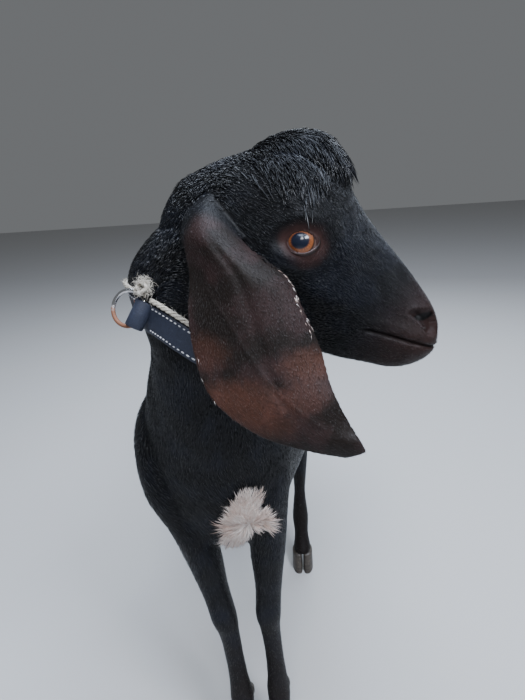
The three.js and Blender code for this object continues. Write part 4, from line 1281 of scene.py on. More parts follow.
# Each area has a mask, a point and a way for its unwrap's axis, and the number of bends in its tufts.
AREAS = {}
for leg in LEGS:
    low = leg_station(leg, 8)
    beside = (np.abs(x - low[0]) < 27) & (np.abs(y - low[1]) < 110)
    AREAS[f"coat_{leg}"] = (legs_here & beside, (low[0], low[1], 150), (0, 0, 1), 0)
AREAS["coat_neck"] = ((y < 60) & (z > 470), (-23, -5, 540), (0, 0, 1), 1)
AREAS["coat_shoulders"] = ((y < 130) & (z <= 470) & ~legs_here, (-23, 40, 400), (0, 0, 1), 1)
AREAS["coat_barrel_left"] = ((y < 340) & (x > -8), *BODY_AXIS, 1)
AREAS["coat_barrel_right"] = ((y < 340) & (x <= -8), *BODY_AXIS, 1)
AREAS["coat_rump"] = (~tail_here, (6, 0, 450), (0, 1, 0), 1)
lay(AREAS, (body_root, body_normal, flow, long, wide, raise_by), np.zeros(len(x)))
print("triangles:", TALLY)

# %% [markdown]
# On the head the coat is shortest at the muzzle and longest on the nape. Round the eyes it parts, grows
# shorter and runs past them. The ears wear short narrow hairs that lie close, with a few pale flecks along
# the edges.

# %% Lay the head's coat
FACE_LONG = 6.2
MUZZLE_LONG = 2.6
NAPE_LONG = 8.5
EAR_LONG = (3.0, 5.0)
EAR_WIDE = 0.5
FLECK_WIDE = 0.85
EAR_RAISE = 0.35
EAR_GAP = 6

ear_of = np.zeros(len(head_root), int)
ear_flow = np.zeros_like(head_root)
ear_pale = np.zeros(len(head_root))
local = to_head(head_root)
candidates = np.flatnonzero((np.abs(local[:, 1]) > 30) | (local[:, 2] < -60))
skull_gap = nearest(SKULL_TREE, head_root[candidates])[1]
for tree, ways, side in EARS.values():
    index, gap = nearest(tree, head_root[candidates])
    mine = (gap < skull_gap) & (gap < EAR_GAP) & (local[candidates, 1] * side > 0)
    hairs = candidates[mine]
    ear_of[hairs] = side
    ear_flow[hairs] = ways[index[mine]]
    row, column = np.divmod(index[mine], 2 * EAR_COLUMNS)
    front_edge = np.isin(column, (0, 2 * EAR_COLUMNS - 1)) & (row > 19) & (row < 31)
    back_edge = np.isin(column, (EAR_COLUMNS - 1, EAR_COLUMNS)) & (row > 33) & (row < 42)
    chance = rng.uniform(0, 1, len(row)) * (1 + wander(head_root[hairs], 9, 6))
    front_pale = front_edge & (chance > mix(0.6, 1.0, ramp(row, 25, 31)))
    ear_pale[hairs] = front_pale | (back_edge & (chance > 1.2))


def head_flow(p):
    """The lie of the coat in the head's own frame: back from the nose, past the eyes, down the nape."""
    x, y, z = p.T
    side = np.sign(y)
    zero = 0 * x
    back = np.stack([-1 + zero, 0.25 * side * ramp(np.abs(y), 0, 20), 0.05 - 0.35 * ramp(-z, 0, 50)], -1)
    eye_gap = np.hypot(x - EYE_AT[0], z - EYE_AT[2])
    past = bump(eye_gap, 24) * np.where(z > EYE_AT[2] - 2, 1, -1)
    back[:, 2] += 1.3 * past * ramp(x, 60, 90) - 0.7 * past * ramp(-x, -68, -40)
    return back


NAPE_WAY = unit(unit([-0.45, -0.08, -0.89]) @ HEAD_AXES.T)
x, y, z = local.T
flow = head_flow(local)
nape = ramp(-x, -18, 22)[:, None]
flow = mix(flow, NAPE_WAY, nape) @ HEAD_AXES
flow = np.where(ear_of[:, None] != 0, ear_flow, flow)
flow = tangent(flow, head_normal)
swing = 0.24 * wander(head_root, 50, 3) + 0.25 * wander(head_root, 12, 4) + rng.normal(0, 0.14, len(x))
flow = turned_flow(flow, head_normal, swing)
muzzle_share = ramp(x, 90, 185)
nape_share = ramp(-x, -25, 15)
long = mix(mix(FACE_LONG, MUZZLE_LONG, muzzle_share), NAPE_LONG, nape_share) * rng.uniform(0.75, 1.25, len(x))
long = np.where(ear_of != 0, rng.uniform(*EAR_LONG, len(x)), long)
wide = mix(mix(1.05, 0.7, muzzle_share), 1.0, nape_share) * rng.uniform(0.7, 1.3, len(x))
raise_by = mix(1.2, 0.7, muzzle_share) * rng.uniform(0.4, 1.4, len(x)) * (1 + 0.5 * wander(head_root, 7, 8))
raise_by = np.where(ear_of != 0, raise_by * EAR_RAISE, raise_by)

# Both sides are folded onto the left, so that one eye serves for two.
folded = np.abs(local) * [1, 1, 0] + local * [0, 0, 1]
by_eye = 1 - ramp(np.linalg.norm(folded - EYE_AT, axis=1), 19, 34)
long = long * (1 - 0.55 * by_eye)
wide = wide * (1 - 0.4 * by_eye)
raise_by = raise_by * (1 - 0.6 * by_eye)
wide = np.where(ear_of != 0, EAR_WIDE, wide)
wide = np.where(ear_pale > 0, FLECK_WIDE, wide)
HEAD_AXIS = (from_head((60, 0, -15)), MUZZLE_WAY)
EAR_AXIS = unit(np.array([0.62, 0, -0.78])) @ HEAD_AXES
skull = ear_of == 0
AREAS = {
    "coat_face_left": (skull & (x > 62) & (y > 0), *HEAD_AXIS, 0),
    "coat_face_right": (skull & (x > 62) & (y <= 0), *HEAD_AXIS, 0),
    "coat_crown": (skull & (x > 5) & (x <= 62), *HEAD_AXIS, 0),
    "coat_nape": (skull & (x <= 5), from_head((-30, 0, -40)), -NAPE_WAY @ HEAD_AXES, 1),
    "coat_ear_left": (ear_of > 0, head_root[ear_of > 0].mean(0), EAR_AXIS, 0),
    "coat_ear_right": (ear_of < 0, head_root[ear_of < 0].mean(0), EAR_AXIS, 0),
}
lay(AREAS, (head_root, head_normal, flow, long, wide, raise_by), ear_pale)
print("triangles:", {name: TALLY[name] for name in AREAS})

# %% [markdown]
# Long hair comes last, in locks with several bends: a sleek forelock combed forward from the poll, a cream
# whorl on the brisket that hangs to a point, and the tail's brush. Rays shot at the skin find the roots.

# %% Forelock, brisket and tail
def hits(tree, starts, ways):
    """Where rays meet the skin, and its normal there; rays that miss are dropped."""
    found = [tree.ray_cast(Vector(start), Vector(way)) for start, way in zip(starts, ways)]
    met = [hit for hit in found if hit[0] is not None]
    return np.array([hit[0] for hit in met]), unit([hit[1] for hit in met])


def tree_of(obj):
    points, _, quads = shape_of(obj)
    return BVHTree.FromPolygons(points.tolist(), quads.tolist())


def long_locks(name, tree, starts, ways, flow_of, length, width, lift, curl, droop, spread, white=0):
    """Locks where rays meet the skin; length, width and lift are drawn between two bounds."""
    root, normal = hits(tree, starts, ways)
    count = len(root)
    flow = tangent(flow_of(root), normal)
    flow = turned_flow(flow, normal, rng.normal(0, spread, count) + spread * wander(root, 22, 5))
    tufts(
        name, root, normal, flow,
        rng.uniform(*length, count), rng.uniform(*width, count), rng.uniform(*lift, count),
        unwrap(root, root.mean(0) - 40 * normal.mean(0), (0.05, 0.02, 1)), bends=LOCK_BENDS,
        curl=rng.normal(0, curl, count), droop=droop, pale=rng.uniform(0, 1, count) < white,
    )


LOCK_BENDS = 3
FORELOCK_RAYS = 5200
POLL_MIDDLE = np.array([34, 0, 30])
ball = unit(rng.normal(0, 1, (FORELOCK_RAYS, 3)) * [0.9, 0.85, 0.45] + [-0.25, 0, 1.0])
ball = ball[ball[:, 0] < 0.6]
starts = from_head(POLL_MIDDLE + ball * 90)


def forelock_flow(p):
    """Forward over the brow, fanning out to both sides, in waves that bring the locks together."""
    local = to_head(p)
    aside = 0.022 * local[:, 1] + 0.22 * np.sin(0.13 * local[:, 0] + 0.1 * local[:, 1])
    aside += 0.3 * np.sin(local[:, 1] / 2.6 + 0.03 * local[:, 0])
    return unit(np.stack([0.9 + 0 * aside, aside, -0.3 - 0.01 * (local[:, 0] - 30)], -1)) @ HEAD_AXES


long_locks("coat_forelock", tree_of(head), starts, -ball @ HEAD_AXES, forelock_flow,
           length=(12, 20), width=(0.8, 1.7), lift=(0.9, 2.6), curl=0.07, droop=0.1, spread=0.07)

BRISKET_RAYS = 2600
WHORL = np.array([7, 0, 364])
LOBE_AT = (13, 367)
POINT_AT = (-10, 348)
PATCH_TURN = np.array([[0.95, -0.31], [0.31, 0.95]])


def cluster(count, reach, middle):
    """Places scattered round a middle, across and up, with no stragglers."""
    return np.clip(rng.normal(0, 1, (count, 2)), -1.8, 1.8) * reach + middle


patch = cluster(BRISKET_RAYS, (5.2, 15.5), (0, 0)) @ PATCH_TURN + (PATCH_AT[0], PATCH_AT[2])
lobe = cluster(BRISKET_RAYS // 5, (5.0, 4.0), LOBE_AT)
point = cluster(BRISKET_RAYS // 7, (3.4, 5.5), POINT_AT)
spot = np.concatenate([patch, lobe, point])
starts = np.stack([spot[:, 0], np.full(len(spot), -120.0), spot[:, 1]], -1)


def bib_flow(p):
    """Hair leaves a whorl low in the patch: fanning out above it, and to a point at one side below."""
    away = unit((p - WHORL) * [1, 0, 1])
    above = ramp(away[:, 2], -0.2, 0.5)[:, None]
    return away + mix(np.array([[0.25, 0, -0.6]]), np.array([[0.1, 0, 1.0]]), above)


long_locks("coat_brisket", tree_of(body), starts, np.tile([0.0, 1.0, 0.0], (len(spot), 1)), bib_flow,
           length=(14, 25), width=(0.8, 1.7), lift=(2.5, 5.5), curl=0.14, droop=0.0, spread=0.12, white=0.95)

mine = np.flatnonzero(tail_here)
TAIL_STEPS = 60
tail_middle = spline([row[0] for row in TAIL], np.linspace(0, 1, TAIL_STEPS))
tail_along = unit(np.gradient(tail_middle, axis=0))
index, _ = nearest(sheet_tree(tail_middle), body_root[mine])
flow = tangent(tail_along[index], body_normal[mine])
flow = turned_flow(flow, body_normal[mine], rng.normal(0, 0.16, len(mine)))
down = index / (TAIL_STEPS - 1)
tufts("coat_tail", body_root[mine], body_normal[mine], flow,
      mix(11, 26, ramp(down, 0.2, 0.7)) * rng.uniform(0.7, 1.15, len(mine)), rng.uniform(0.9, 1.8, len(mine)),
      mix(1.5, 3.0, down) * rng.uniform(0.5, 1.3, len(mine)),
      unwrap(body_root[mine], (10, 560, 500), (0, 0.3, 1)), bends=2, curl=rng.normal(0, 0.12, len(mine)))
print("coat triangles in all:", sum(TALLY.values()))

# %% [markdown]
# Body and head skins now become one object that stands for every node of flesh. Each vertex keeps its own
# place as its root.

# %% Join the skins
skin = joined("skin", [body, head])
set_vectors(skin, "root", read_points(skin))
settle(skin, HIDE, "coat", *FLESH)
print("skin:", len(skin.data.vertices), "vertices")

# %% [markdown]
# The eyeball is a ball set in its lids, with the cornea's slight swell in front. The pupil is a dark blue
# oval in an amber iris with fine spokes and a dark rim. The colours are worked out from the distance to the
# eye's axis, and a clear coat gives the wet gloss.

# %% Eyeballs
IRIS = 10.3
PUPIL_LONG = 7.0
PUPIL_TALL = 6.2
AMBERS = ((0.13, 0.038, 0.013), (0.29, 0.10, 0.036))
IRIS_OUTER = (0.20, 0.065, 0.022)
IRIS_RIM = (0.012, 0.007, 0.005)
EYE_WHITES = ((0.10, 0.06, 0.05), (0.05, 0.025, 0.02))
PUPIL_BLUE = (0.006, 0.009, 0.02)
EYE_BACK = (0.1, 0.05, 0.04)


def eye_finish(side):
    paint = Paint("eye")
    along, up, out = (unit(a @ HEAD_AXES) for a in eye_axes(side))
    at = paint.here() - tuple(place(from_head(eye_at(side))))
    u = at.dot(tuple(along)) / MM
    w = at.dot(tuple(up)) / MM
    r = (u * u + w * w) ** 0.5
    pupil = ((u / PUPIL_LONG) ** 2 + (w / PUPIL_TALL) ** 2) ** 0.5
    spoke_at = paint.node("ShaderNodeCombineXYZ", None, {"X": u / r, "Y": w / r, "Z": r * 0.05})
    spokes = paint.noise(spoke_at, 9, 4, 0.7)
    amber = paint.blend(spokes.between(0.35, 0.65), *AMBERS)
    amber = paint.blend(r.between(IRIS - 3.0, IRIS - 1.2), amber, IRIS_OUTER)
    amber = paint.blend(r.between(IRIS - 1.1, IRIS - 0.1), amber, IRIS_RIM)
    white = paint.blend(r.between(IRIS + 1, IRIS + 3), *EYE_WHITES)
    colour = paint.blend(r.between(IRIS - 0.2, IRIS + 0.5), amber, white)
    colour = paint.blend(1 - pupil.between(0.9, 1.12), colour, PUPIL_BLUE)
    front = paint.node("ShaderNodeNewGeometry", output=1).dot(tuple(out)).between(0, 0.1)
    colour = paint.blend(front, EYE_BACK, colour)
    return paint.finish({
        "Base Color": colour,
        "Roughness": 0.3,
        "Specular IOR Level": 0.2,
        "Coat Weight": 1.0,
        "Coat Roughness": 0.02,
        "Coat IOR": 1.38,
    })


def eyeball(side):
    """A ball whose poles lie on the eye's axis, with the cornea's slight swell."""
    along, up, out = eye_axes(side)
    t = np.linspace(0.004, math.pi - 0.004, 60)
    turn = np.linspace(0, 2 * math.pi, 96, endpoint=False)
    swell = 1 + 0.075 * bump(t, 0.42)
    ring = np.sin(t)[:, None, None] * (np.cos(turn)[None, :, None] * along + np.sin(turn)[None, :, None] * up)
    ball = (ring + np.cos(t)[:, None, None] * out) * (EYE_RADIUS - 0.15) * swell[:, None, None]
    return loft_object(f"eyeball_{side_name(side)}", from_head(ball + eye_at(side))[:, ::-1])


for side in (1, -1):
    settle(eyeball(side), eye_finish(side), "eye", f"eye_{side_name(side)}")
print("two eyeballs of", 2 * EYE_RADIUS, "mm")

# %% [markdown]
# Bare lids rim the eye: a narrow roll of dark reddish skin that lies on the ball, swept round the slit as a
# closed tube, which hides the skin's tucked edge. Inside it a thin pale edge runs along the lower lid: pink
# wet skin, painted pale as a painted highlight.

# %% Lid rims
# Each row of a section is a place out from the slit's outline, 1 on it, and how proud of the ball it stands.
LID_SECTION = [
    (0.97, -0.2),
    (0.98, 0.6),
    (1.01, 1.2),
    (1.07, 1.65),
    (1.15, 1.7),
    (1.22, 1.3),
    (1.25, 0.2),
    (1.15, -1.2),
    (1.02, -1.2),
]
WET_SECTION = [(0.93, 0.1), (0.935, 0.45), (0.955, 0.65), (0.985, 0.65), (1.0, 0.2), (0.97, -0.3)]
LID_BROWNS = ((0.010, 0.006, 0.0055), (0.036, 0.015, 0.012))
# Pink of the wet lid edge, lightened as a painted highlight.
WET_PINK_HIGHLIGHT = (0.20, 0.15, 0.15)


def lid_roll(name, side, section, theta):
    """A roll of skin swept along the edge of the slit. All the way round, it closes on itself."""
    along, up, out = eye_axes(side)
    u, w = slit_outline(theta)
    reach = np.maximum(np.hypot(u, w), 4.5)
    rings = []
    for spread, proud in spline(section + section[:1], np.linspace(0, 1, 31)[:-1]):
        wide = 1 + (spread - 1) * 9 / reach
        a, b = u * wide, w * wide
        ball = EYE_RADIUS + proud
        depth = np.sqrt(np.maximum(ball**2 - a**2 - b**2, 4))
        rings.append(a[:, None] * along + b[:, None] * up + depth[:, None] * out)
    rings = np.stack(rings, 1) + eye_at(side)
    whole = theta[-1] - theta[0] > 6
    return loft_object(f"{name}_{side_name(side)}", from_head(rings), closed=whole)


def lid_finish():
    paint = Paint("lid skin")
    at = paint.here()
    grain = paint.noise(at, 700, 4, 0.6)
    colour = paint.blend(grain.between(0.35, 0.7), *LID_BROWNS)
    values = {"Base Color": colour, "Roughness": 0.48, "Specular IOR Level": 0.35}
    return paint.finish(values, grain, 0.5, 0.0004)


def wet_highlight_finish():
    paint = Paint("wet lid edge with painted highlight")
    # Pale pink: the lid's own pink with a painted wet highlight.
    return paint.finish({"Base Color": WET_PINK_HIGHLIGHT, "Roughness": 0.12})


LID_SKIN = lid_finish()
WET_EDGE_HIGHLIGHT = wet_highlight_finish()
ALL_ROUND = np.linspace(0, 2 * math.pi, 120, endpoint=False)
LOWER_LID = np.linspace(3.35, 6.1, 60)
for side in (1, -1):
    settle(lid_roll("lid", side, LID_SECTION, ALL_ROUND), LID_SKIN, "coat")
    settle(lid_roll("lid_wet", side, WET_SECTION, LOWER_LID), WET_EDGE_HIGHLIGHT, "eye")
print("eyes set in their lids")

# %% [markdown]
# A hoof is two claws of horn that meet at the toe, flat below and leaning forward. Growth rings run round
# them, and a pair of small dewclaws sits behind each fetlock. They are lofts like the solids, only finer.

# %% Hooves and dewclaws
CLAW_LONG, CLAW_WIDE = 23, 8.6
CLAW_TOP_LONG, CLAW_TOP_WIDE = 17, 8.2
CLAW_LEAN, CLAW_APART = 9, 9.9
GROWTH_PITCH = 3.1
GAP = 0.3
HORN_BROWNS = ((0.028, 0.024, 0.021), (0.085, 0.07, 0.056))
HORN_SCUFF = (0.2, 0.17, 0.13)
# How far out along the dewclaw, and its half width there.
DEWCLAW = [(0, 6.2), (3, 6.0), (7, 5.4), (10.5, 4.2), (13, 2.4)]


def claw(name, foot, side):
    t = np.linspace(0, 1, 26)
    z = mix(0, SEAM_Z - GAP, t)
    rings_of_growth = 0.16 * np.sin(z * 2 * math.pi / GROWTH_PITCH) * ramp(t, 0.05, 0.3)
    half = mix(CLAW_WIDE, CLAW_TOP_WIDE, t) + rings_of_growth
    long = mix(CLAW_LONG, CLAW_TOP_LONG, t**0.8) + rings_of_growth
    centre = np.stack([0 * t, mix(-CLAW_LEAN, 0, t), z], -1)
    rings = ovals(centre, (1, 0, 0), (0, 1, 0), half, long * 0.92, long, 2.5, 48)
    toe = np.maximum(0, (centre[:, None, 1] - rings[..., 1]) / long[:, None])
    rings[..., 0] -= side * 2.6 * toe**2
    return loft_object(name, rings + np.array([foot[0] + side * CLAW_APART, foot[1], 0]))


def dewclaw(name, fetlock, side):
    out, half = spline(DEWCLAW, np.linspace(0, 1, 14)).T
    centre = np.stack([0 * out, out - 5, -out * 0.45], -1)
    rings = ovals(centre, (1, 0, 0), unit((0, 0.35, 1)), half, half * 1.15, half * 1.15, 2, 20)
    return loft_object(name, rings + fetlock + np.array([side * 8.5, 16 + 1.5 * GAP, -8]))


def horn_finish():
    paint = Paint("horn")
    at = paint.here()
    bands = paint.noise(at * (60, 60, 900), 1, 3)
    scuffs = paint.noise(at, 260, 5, 0.7)
    colour = paint.blend(bands.between(0.3, 0.7), *HORN_BROWNS)
    colour = paint.blend(scuffs.between(0.56, 0.72) * 0.5, colour, HORN_SCUFF)
    return paint.finish({"Base Color": colour, "Roughness": scuffs * 0.3 + 0.3}, bands + scuffs, 0.4, 0.0005)


HORN = horn_finish()
for leg in LEGS:
    foot = leg_station(leg, -1)
    fetlock = leg_station(leg, FETLOCK_ROW)
    for side, letter in ((1, "a"), (-1, "b")):
        settle(claw(f"claw_{leg}_{letter}", foot, side), HORN, "horn", f"hoof_{leg}_{letter}")
        settle(dewclaw(f"spur_{leg}_{letter}", fetlock, side), HORN, "horn", f"dewclaw_{leg}_{letter}")
print("eight claws and eight dewclaws")

# %% [markdown]
# For any angle round the collar's slice a ray from the middle of the neck finds the hide, so the strap, its
# stitches and its cord all lie on it. On the far side the slice tips up a little to clear the withers.

# %% Where the collar runs
def slice_point(angle, radius, shift):
    """A place in the collar's slice, for an angle round the neck, a radius and a shift along it."""
    way = unit(mix(COLLAR_WAY, COLLAR_FAR_WAY, (1 + math.cos(angle)) / 2))
    p = COLLAR_MIDDLE + COLLAR_RIGHT * radius * math.cos(angle) + COLLAR_UP * radius * math.sin(angle)
    return p + COLLAR_WAY * (shift - (p - COLLAR_POINT) @ way) / (COLLAR_WAY @ way)


neck_rings = trunk_rings(station("neck base"), station("nape"), steps=120, count=96, inset=0)
neck_points = np.vstack([neck_rings.reshape(-1, 3), neck_rings[0].mean(0), neck_rings[-1].mean(0)])
NECK_TREE = BVHTree.FromPolygons(neck_points.tolist(), loft_faces(*neck_rings.shape[:2]))


def neck_point(angle, shift, out):
    """Where the slice meets the neck's coat at an angle, moved outwards, and the way out there."""
    start = slice_point(angle, 0, shift)
    outward = unit(slice_point(angle, 1, shift) - start)
    hit = NECK_TREE.ray_cast(Vector(start), Vector(outward))[0]
    return np.array(hit) + outward * out, outward


# The strap's lower edge, middle and upper edge are found on the neck and smoothed by a bell over 25 places.
TURNS = 300
STRAP_ANGLES = np.linspace(0, 2 * math.pi, TURNS, endpoint=False)
STRAP_TRACK = {}
kernel = np.exp(-(np.linspace(-2, 2, 25) ** 2))
for shift in (-COLLAR_WIDTH / 2, 0, COLLAR_WIDTH / 2):
    track = np.array([neck_point(a, shift, 0)[0] for a in STRAP_ANGLES])
    padded = np.vstack([track[-12:], track, track[:12]])
    smooth = [np.convolve(padded[:, k], kernel / kernel.sum(), "valid") for k in range(3)]
    STRAP_TRACK[shift] = np.stack(smooth, -1)
STRAP_MID = STRAP_TRACK[0]


def on_strap(angle, across, out):
    """A place on the strap: an angle, from -1 to 1 across it, and how far out from the coat."""
    at = (angle % (2 * math.pi)) / (2 * math.pi) * TURNS
    first = int(at) % TURNS
    share = at - int(at)
    second = (first + 1) % TURNS
    low, mid, high = (mix(track[first], track[second], share) for track in STRAP_TRACK.values())
    p = mid + (high - low) / 2 * across + (high + low - 2 * mid) / 2 * across**2
    outward = unit(slice_point(angle, 1, 0) - slice_point(angle, 0, 0))
    return p + outward * out


girth = np.linalg.norm(np.diff(STRAP_MID, axis=0, append=STRAP_MID[:1]), axis=1).sum()
print("strap length round the neck in mm:", girth.round(1))

# %% [markdown]
# The strap is modelled straight round, with rolled edges and a soft wave, because a cloth or leather
# simulation would erase so narrow a band. White dashes of thread run near both edges, as small solid
# capsules, and a loop at the end holds the ring with a pink cross stitch beside it.

# %% Strap, loop and stitches
STRAP_OUT = COLLAR_THICKNESS - STRAP_SINK
# From the edge to the middle: a place across the strap, and its height out from the coat.
STRAP_EDGE = [(-1, -0.5), (-1.0, 1.4), (-0.95, 2.3), (-0.8, 2.6), (-0.7, 2.45)]
STRAP_SECTION = [*STRAP_EDGE, (0, 2.6), *[(-across, high) for across, high in reversed(STRAP_EDGE)]]
FOLD_SECTION = [(-1, -1), (-1.0, 0.7), (-0.94, 1), (0, 1.06), (0.94, 1), (1.0, 0.7), (1, -1)]
FOLD_OUTER = 8
FOLD_INNER = 5.4
FOLD_GAP = 0.55
STITCH_LONG = 3.3
STITCH_RADIUS = 0.62
STITCH_PITCH = 5.2
STITCH_EDGE = 0.76
CROSS_STEP = 0.13
CROSS_ANGLE = FOLD_ANGLE - 0.36
NAVIES = ((0.009, 0.012, 0.024), (0.026, 0.034, 0.064))
WORN_NAVY = (0.08, 0.095, 0.14)


def strap_band():
    rings = []
    for angle in STRAP_ANGLES:
        wave = 0.25 * math.sin(7 * angle) + 0.15 * math.sin(13 * angle + 1)
        rings.append([on_strap(angle, a, o + wave * (o > 0)) for a, o in STRAP_SECTION])
    return loft_object("strap", np.array(rings), closed=True)


fold_at = neck_point(FOLD_ANGLE, 0, FOLD_OUTER - 0.4)[0]
fold_out = unit(fold_at - COLLAR_POINT - COLLAR_WAY * ((fold_at - COLLAR_POINT) @ COLLAR_WAY))
chord = neck_point(FOLD_ANGLE - 0.06, 0, 0)[0] - neck_point(FOLD_ANGLE + 0.06, 0, 0)[0]
fold_way = chord - COLLAR_WAY * (chord @ COLLAR_WAY)
FOLD_WAY = unit(fold_way - fold_out * (fold_way @ fold_out))


def fold_loop():
    """The strap's end, turned back round the ring's wire."""
    turn = np.linspace(FOLD_GAP, 2 * math.pi - FOLD_GAP, 60)
    middle_radius = (FOLD_OUTER + FOLD_INNER) / 2
    thick = (FOLD_OUTER - FOLD_INNER) / 2
    spine = [fold_at + middle_radius * (-math.cos(a) * fold_out + math.sin(a) * FOLD_WAY) for a in turn]
    aside = [COLLAR_WAY * across * COLLAR_WIDTH / 2 for across, _ in FOLD_SECTION]
    rings = []
    for p, out in zip(spine, unit(spine - fold_at)):
        rings.append([p + step + out * deep * thick for step, (_, deep) in zip(aside, FOLD_SECTION)])
    return loft_object("strap_loop", np.array(rings))


def capsule(spine, out):
    """A short rounded stitch, flattened on the strap, along a few points and with one way out."""
    t = np.linspace(0, 1, 7)
    size = STITCH_RADIUS * np.sqrt(np.maximum(1 - (2 * t - 1) ** 4, 0.06))
    centre = spline(spine, t)
    side = unit(np.cross(unit(np.gradient(centre, axis=0)), out))
    return ovals(centre, side, out, size, size * 0.6, size * 0.6, 2, 8)


def many_lofts(name, all_rings):
    """Many closed lofts of one size as a single object."""
    all_rings = np.asarray(all_rings)
    count, rings, around = all_rings.shape[:3]
    points = np.concatenate([
        all_rings.reshape(count, -1, 3), all_rings[:, :1].mean(2), all_rings[:, -1:].mean(2)
    ], 1)
    faces = loft_faces(rings, around)
    each = points.shape[1]
    moved = [[k + n * each for k in face] for n in range(count) for face in faces]
    return face_out(new_object(name, place(points.reshape(-1, 3)), moved))


def stitch(angle, across, along_strap=True):
    """One stitch of three points: its ends dip into the strap and its middle stands proud."""
    half = STITCH_LONG / 2 / (girth / (2 * math.pi))
    spine = []
    ways = []
    for k in (-1, 0, 1):
        a = angle + k * half if along_strap else angle
        b = across if along_strap else across + k * CROSS_STEP
        out = STRAP_OUT + (0.2 if k == 0 else -0.1)
        spine.append(on_strap(a, b, out))
        ways.append(spine[-1] - on_strap(a, b, out - 1))
    return capsule(spine, unit(ways)[0])


all_angles = np.linspace(0, 2 * math.pi, int(girth / STITCH_PITCH), endpoint=False)
stitch_angles = [a for a in all_angles if abs(a - FOLD_ANGLE) > 0.16]
edge_stitches = many_lofts("stitches", [stitch(a, e * STITCH_EDGE) for a in stitch_angles for e in (-1, 1)])
crosses = [stitch(CROSS_ANGLE, across, False) for across in np.linspace(-0.62, 0.62, 6)]
cross_stitches = many_lofts("cross_stitches", crosses)


def strap_finish():
    paint = Paint("navy leather")
    at = paint.here()
    grain = paint.noise(at, 1400, 4, 0.65)
    wear = paint.noise(at, 170, 5, 0.7)
    colour = paint.blend(grain.between(0.38, 0.66), *NAVIES)
    colour = paint.blend(wear.between(0.56, 0.74) * 0.45, colour, WORN_NAVY)
    values = {"Base Color": colour, "Roughness": grain * 0.25 + 0.5}
    return paint.finish(values, grain + wear, 0.6, 0.0004)


def thread_finish(name, light, dark):
    paint = Paint(name)
    at = paint.here()
    fuzz = paint.noise(at, 1500, 3, 0.6)
    colour = paint.blend(fuzz.between(0.35, 0.65), dark, light)
    return paint.finish({"Base Color": colour, "Roughness": 0.85}, fuzz, 0.5, 0.0003)


STRAP = strap_finish()
WHITE_THREAD = thread_finish("white thread", (0.75, 0.75, 0.76), (0.45, 0.46, 0.5))
PINK_THREAD = thread_finish("pink thread", (0.50, 0.27, 0.22), (0.30, 0.15, 0.13))
TWINE = thread_finish("twine", (0.62, 0.58, 0.50), (0.28, 0.25, 0.21))
settle(strap_band(), STRAP, "strap", "collar")
settle(fold_loop(), STRAP, "strap")
settle(edge_stitches, WHITE_THREAD, "strap")
settle(cross_stitches, PINK_THREAD, "strap")
print("strap with", 2 * len(stitch_angles), "edge stitches")

# %% [markdown]
# The ring is a bent steel wire, still bright on top and rusty underneath. The twine along the strap's
# upper edge is three strands laid round each other, worn enough to shed fibres, with a frayed knot at
# the loop. Each strand is a thin tube along a helix, so that the twist of the cord is real shape.

# %% Ring, twine and knot
RING_RADIUS = 15.5
RING_WIRE = 1.9
RING_LIFT = 0.35
BRIGHT_STEEL = (0.72, 0.72, 0.73)
RUST = (0.20, 0.085, 0.045)
TWINE_RADIUS = 2.4
TWINE_TWISTS = 19
TWINE_GAP = 0.16
STRAND = 1.15
KNOT_STRAND = 1.25
EDGE_FRAYS = 260
KNOT_FRAYS = 130


def tube(spine, radius, around=8):
    """Rings along a spine, turned as little as possible."""
    spine = np.asarray(spine, float)
    along = unit(np.gradient(spine, axis=0))
    side = unit(np.cross(along, (0.31, 0.17, 0.94)))
    up = np.cross(side, along)
    size = np.broadcast_to(radius, len(spine))
    return ovals(spine, side, up, size, size, size, 2, around)


inset = (RING_RADIUS - math.sqrt(RING_RADIUS**2 - (COLLAR_WIDTH / 2) ** 2)) / 2
ring_way = FOLD_WAY * math.cos(RING_LIFT) + fold_out * math.sin(RING_LIFT)
ring_middle = fold_at + ring_way * (RING_RADIUS - inset)
turn = np.linspace(0, 2 * math.pi, 120, endpoint=False)[:, None, None]
wire = np.linspace(0, 2 * math.pi, 16, endpoint=False)[None, :, None]
ring_normal = np.cross(ring_way, COLLAR_WAY)
radial = np.cos(turn) * ring_way + np.sin(turn) * COLLAR_WAY
from_middle = radial * (RING_RADIUS + RING_WIRE * np.cos(wire))
ring_rings = ring_middle + from_middle + ring_normal * RING_WIRE * np.sin(wire)
ring = loft_object("ring", ring_rings, closed=True)


def steel_finish():
    paint = Paint("ring steel")
    at = paint.here()
    cloud = paint.noise(at, 260, 4, 0.6)
    low = (at - tuple(place(ring_middle))).dot((0, 0, 1)) / (RING_RADIUS * MM)
    rust = (low * -0.9 + cloud * 1.3 - 0.35).between(0.0, 0.5)
    colour = paint.blend(rust, BRIGHT_STEEL, RUST)
    values = {"Base Color": colour, "Metallic": 1 - rust * 0.85, "Roughness": rust * 0.45 + 0.2}
    return paint.finish(values, cloud * rust, 0.5, 0.0004)


settle(ring, steel_finish(), "steel", "collar_ring")

strands = []
angles = np.linspace(FOLD_ANGLE + TWINE_GAP, FOLD_ANGLE + 2 * math.pi - TWINE_GAP, 420)
lay_height = 1 + 2 * (TWINE_RADIUS + 0.8) / COLLAR_WIDTH
centre_line = np.array([on_strap(a, lay_height, TWINE_RADIUS + 0.9) for a in angles])
outward = np.array([unit(slice_point(a, 1, 0) - slice_point(a, 0, 0)) for a in angles])
twine_length = np.linalg.norm(np.diff(centre_line, axis=0), axis=1).sum()
print("twine along the strap in mm:", twine_length.round(1))
for k in range(3):
    phase = angles * TWINE_TWISTS + k * 2 * math.pi / 3
    offset = outward * np.cos(phase)[:, None] + COLLAR_WAY * np.sin(phase)[:, None]
    strands.append(tube(centre_line + offset * STRAND * 1.05, STRAND))

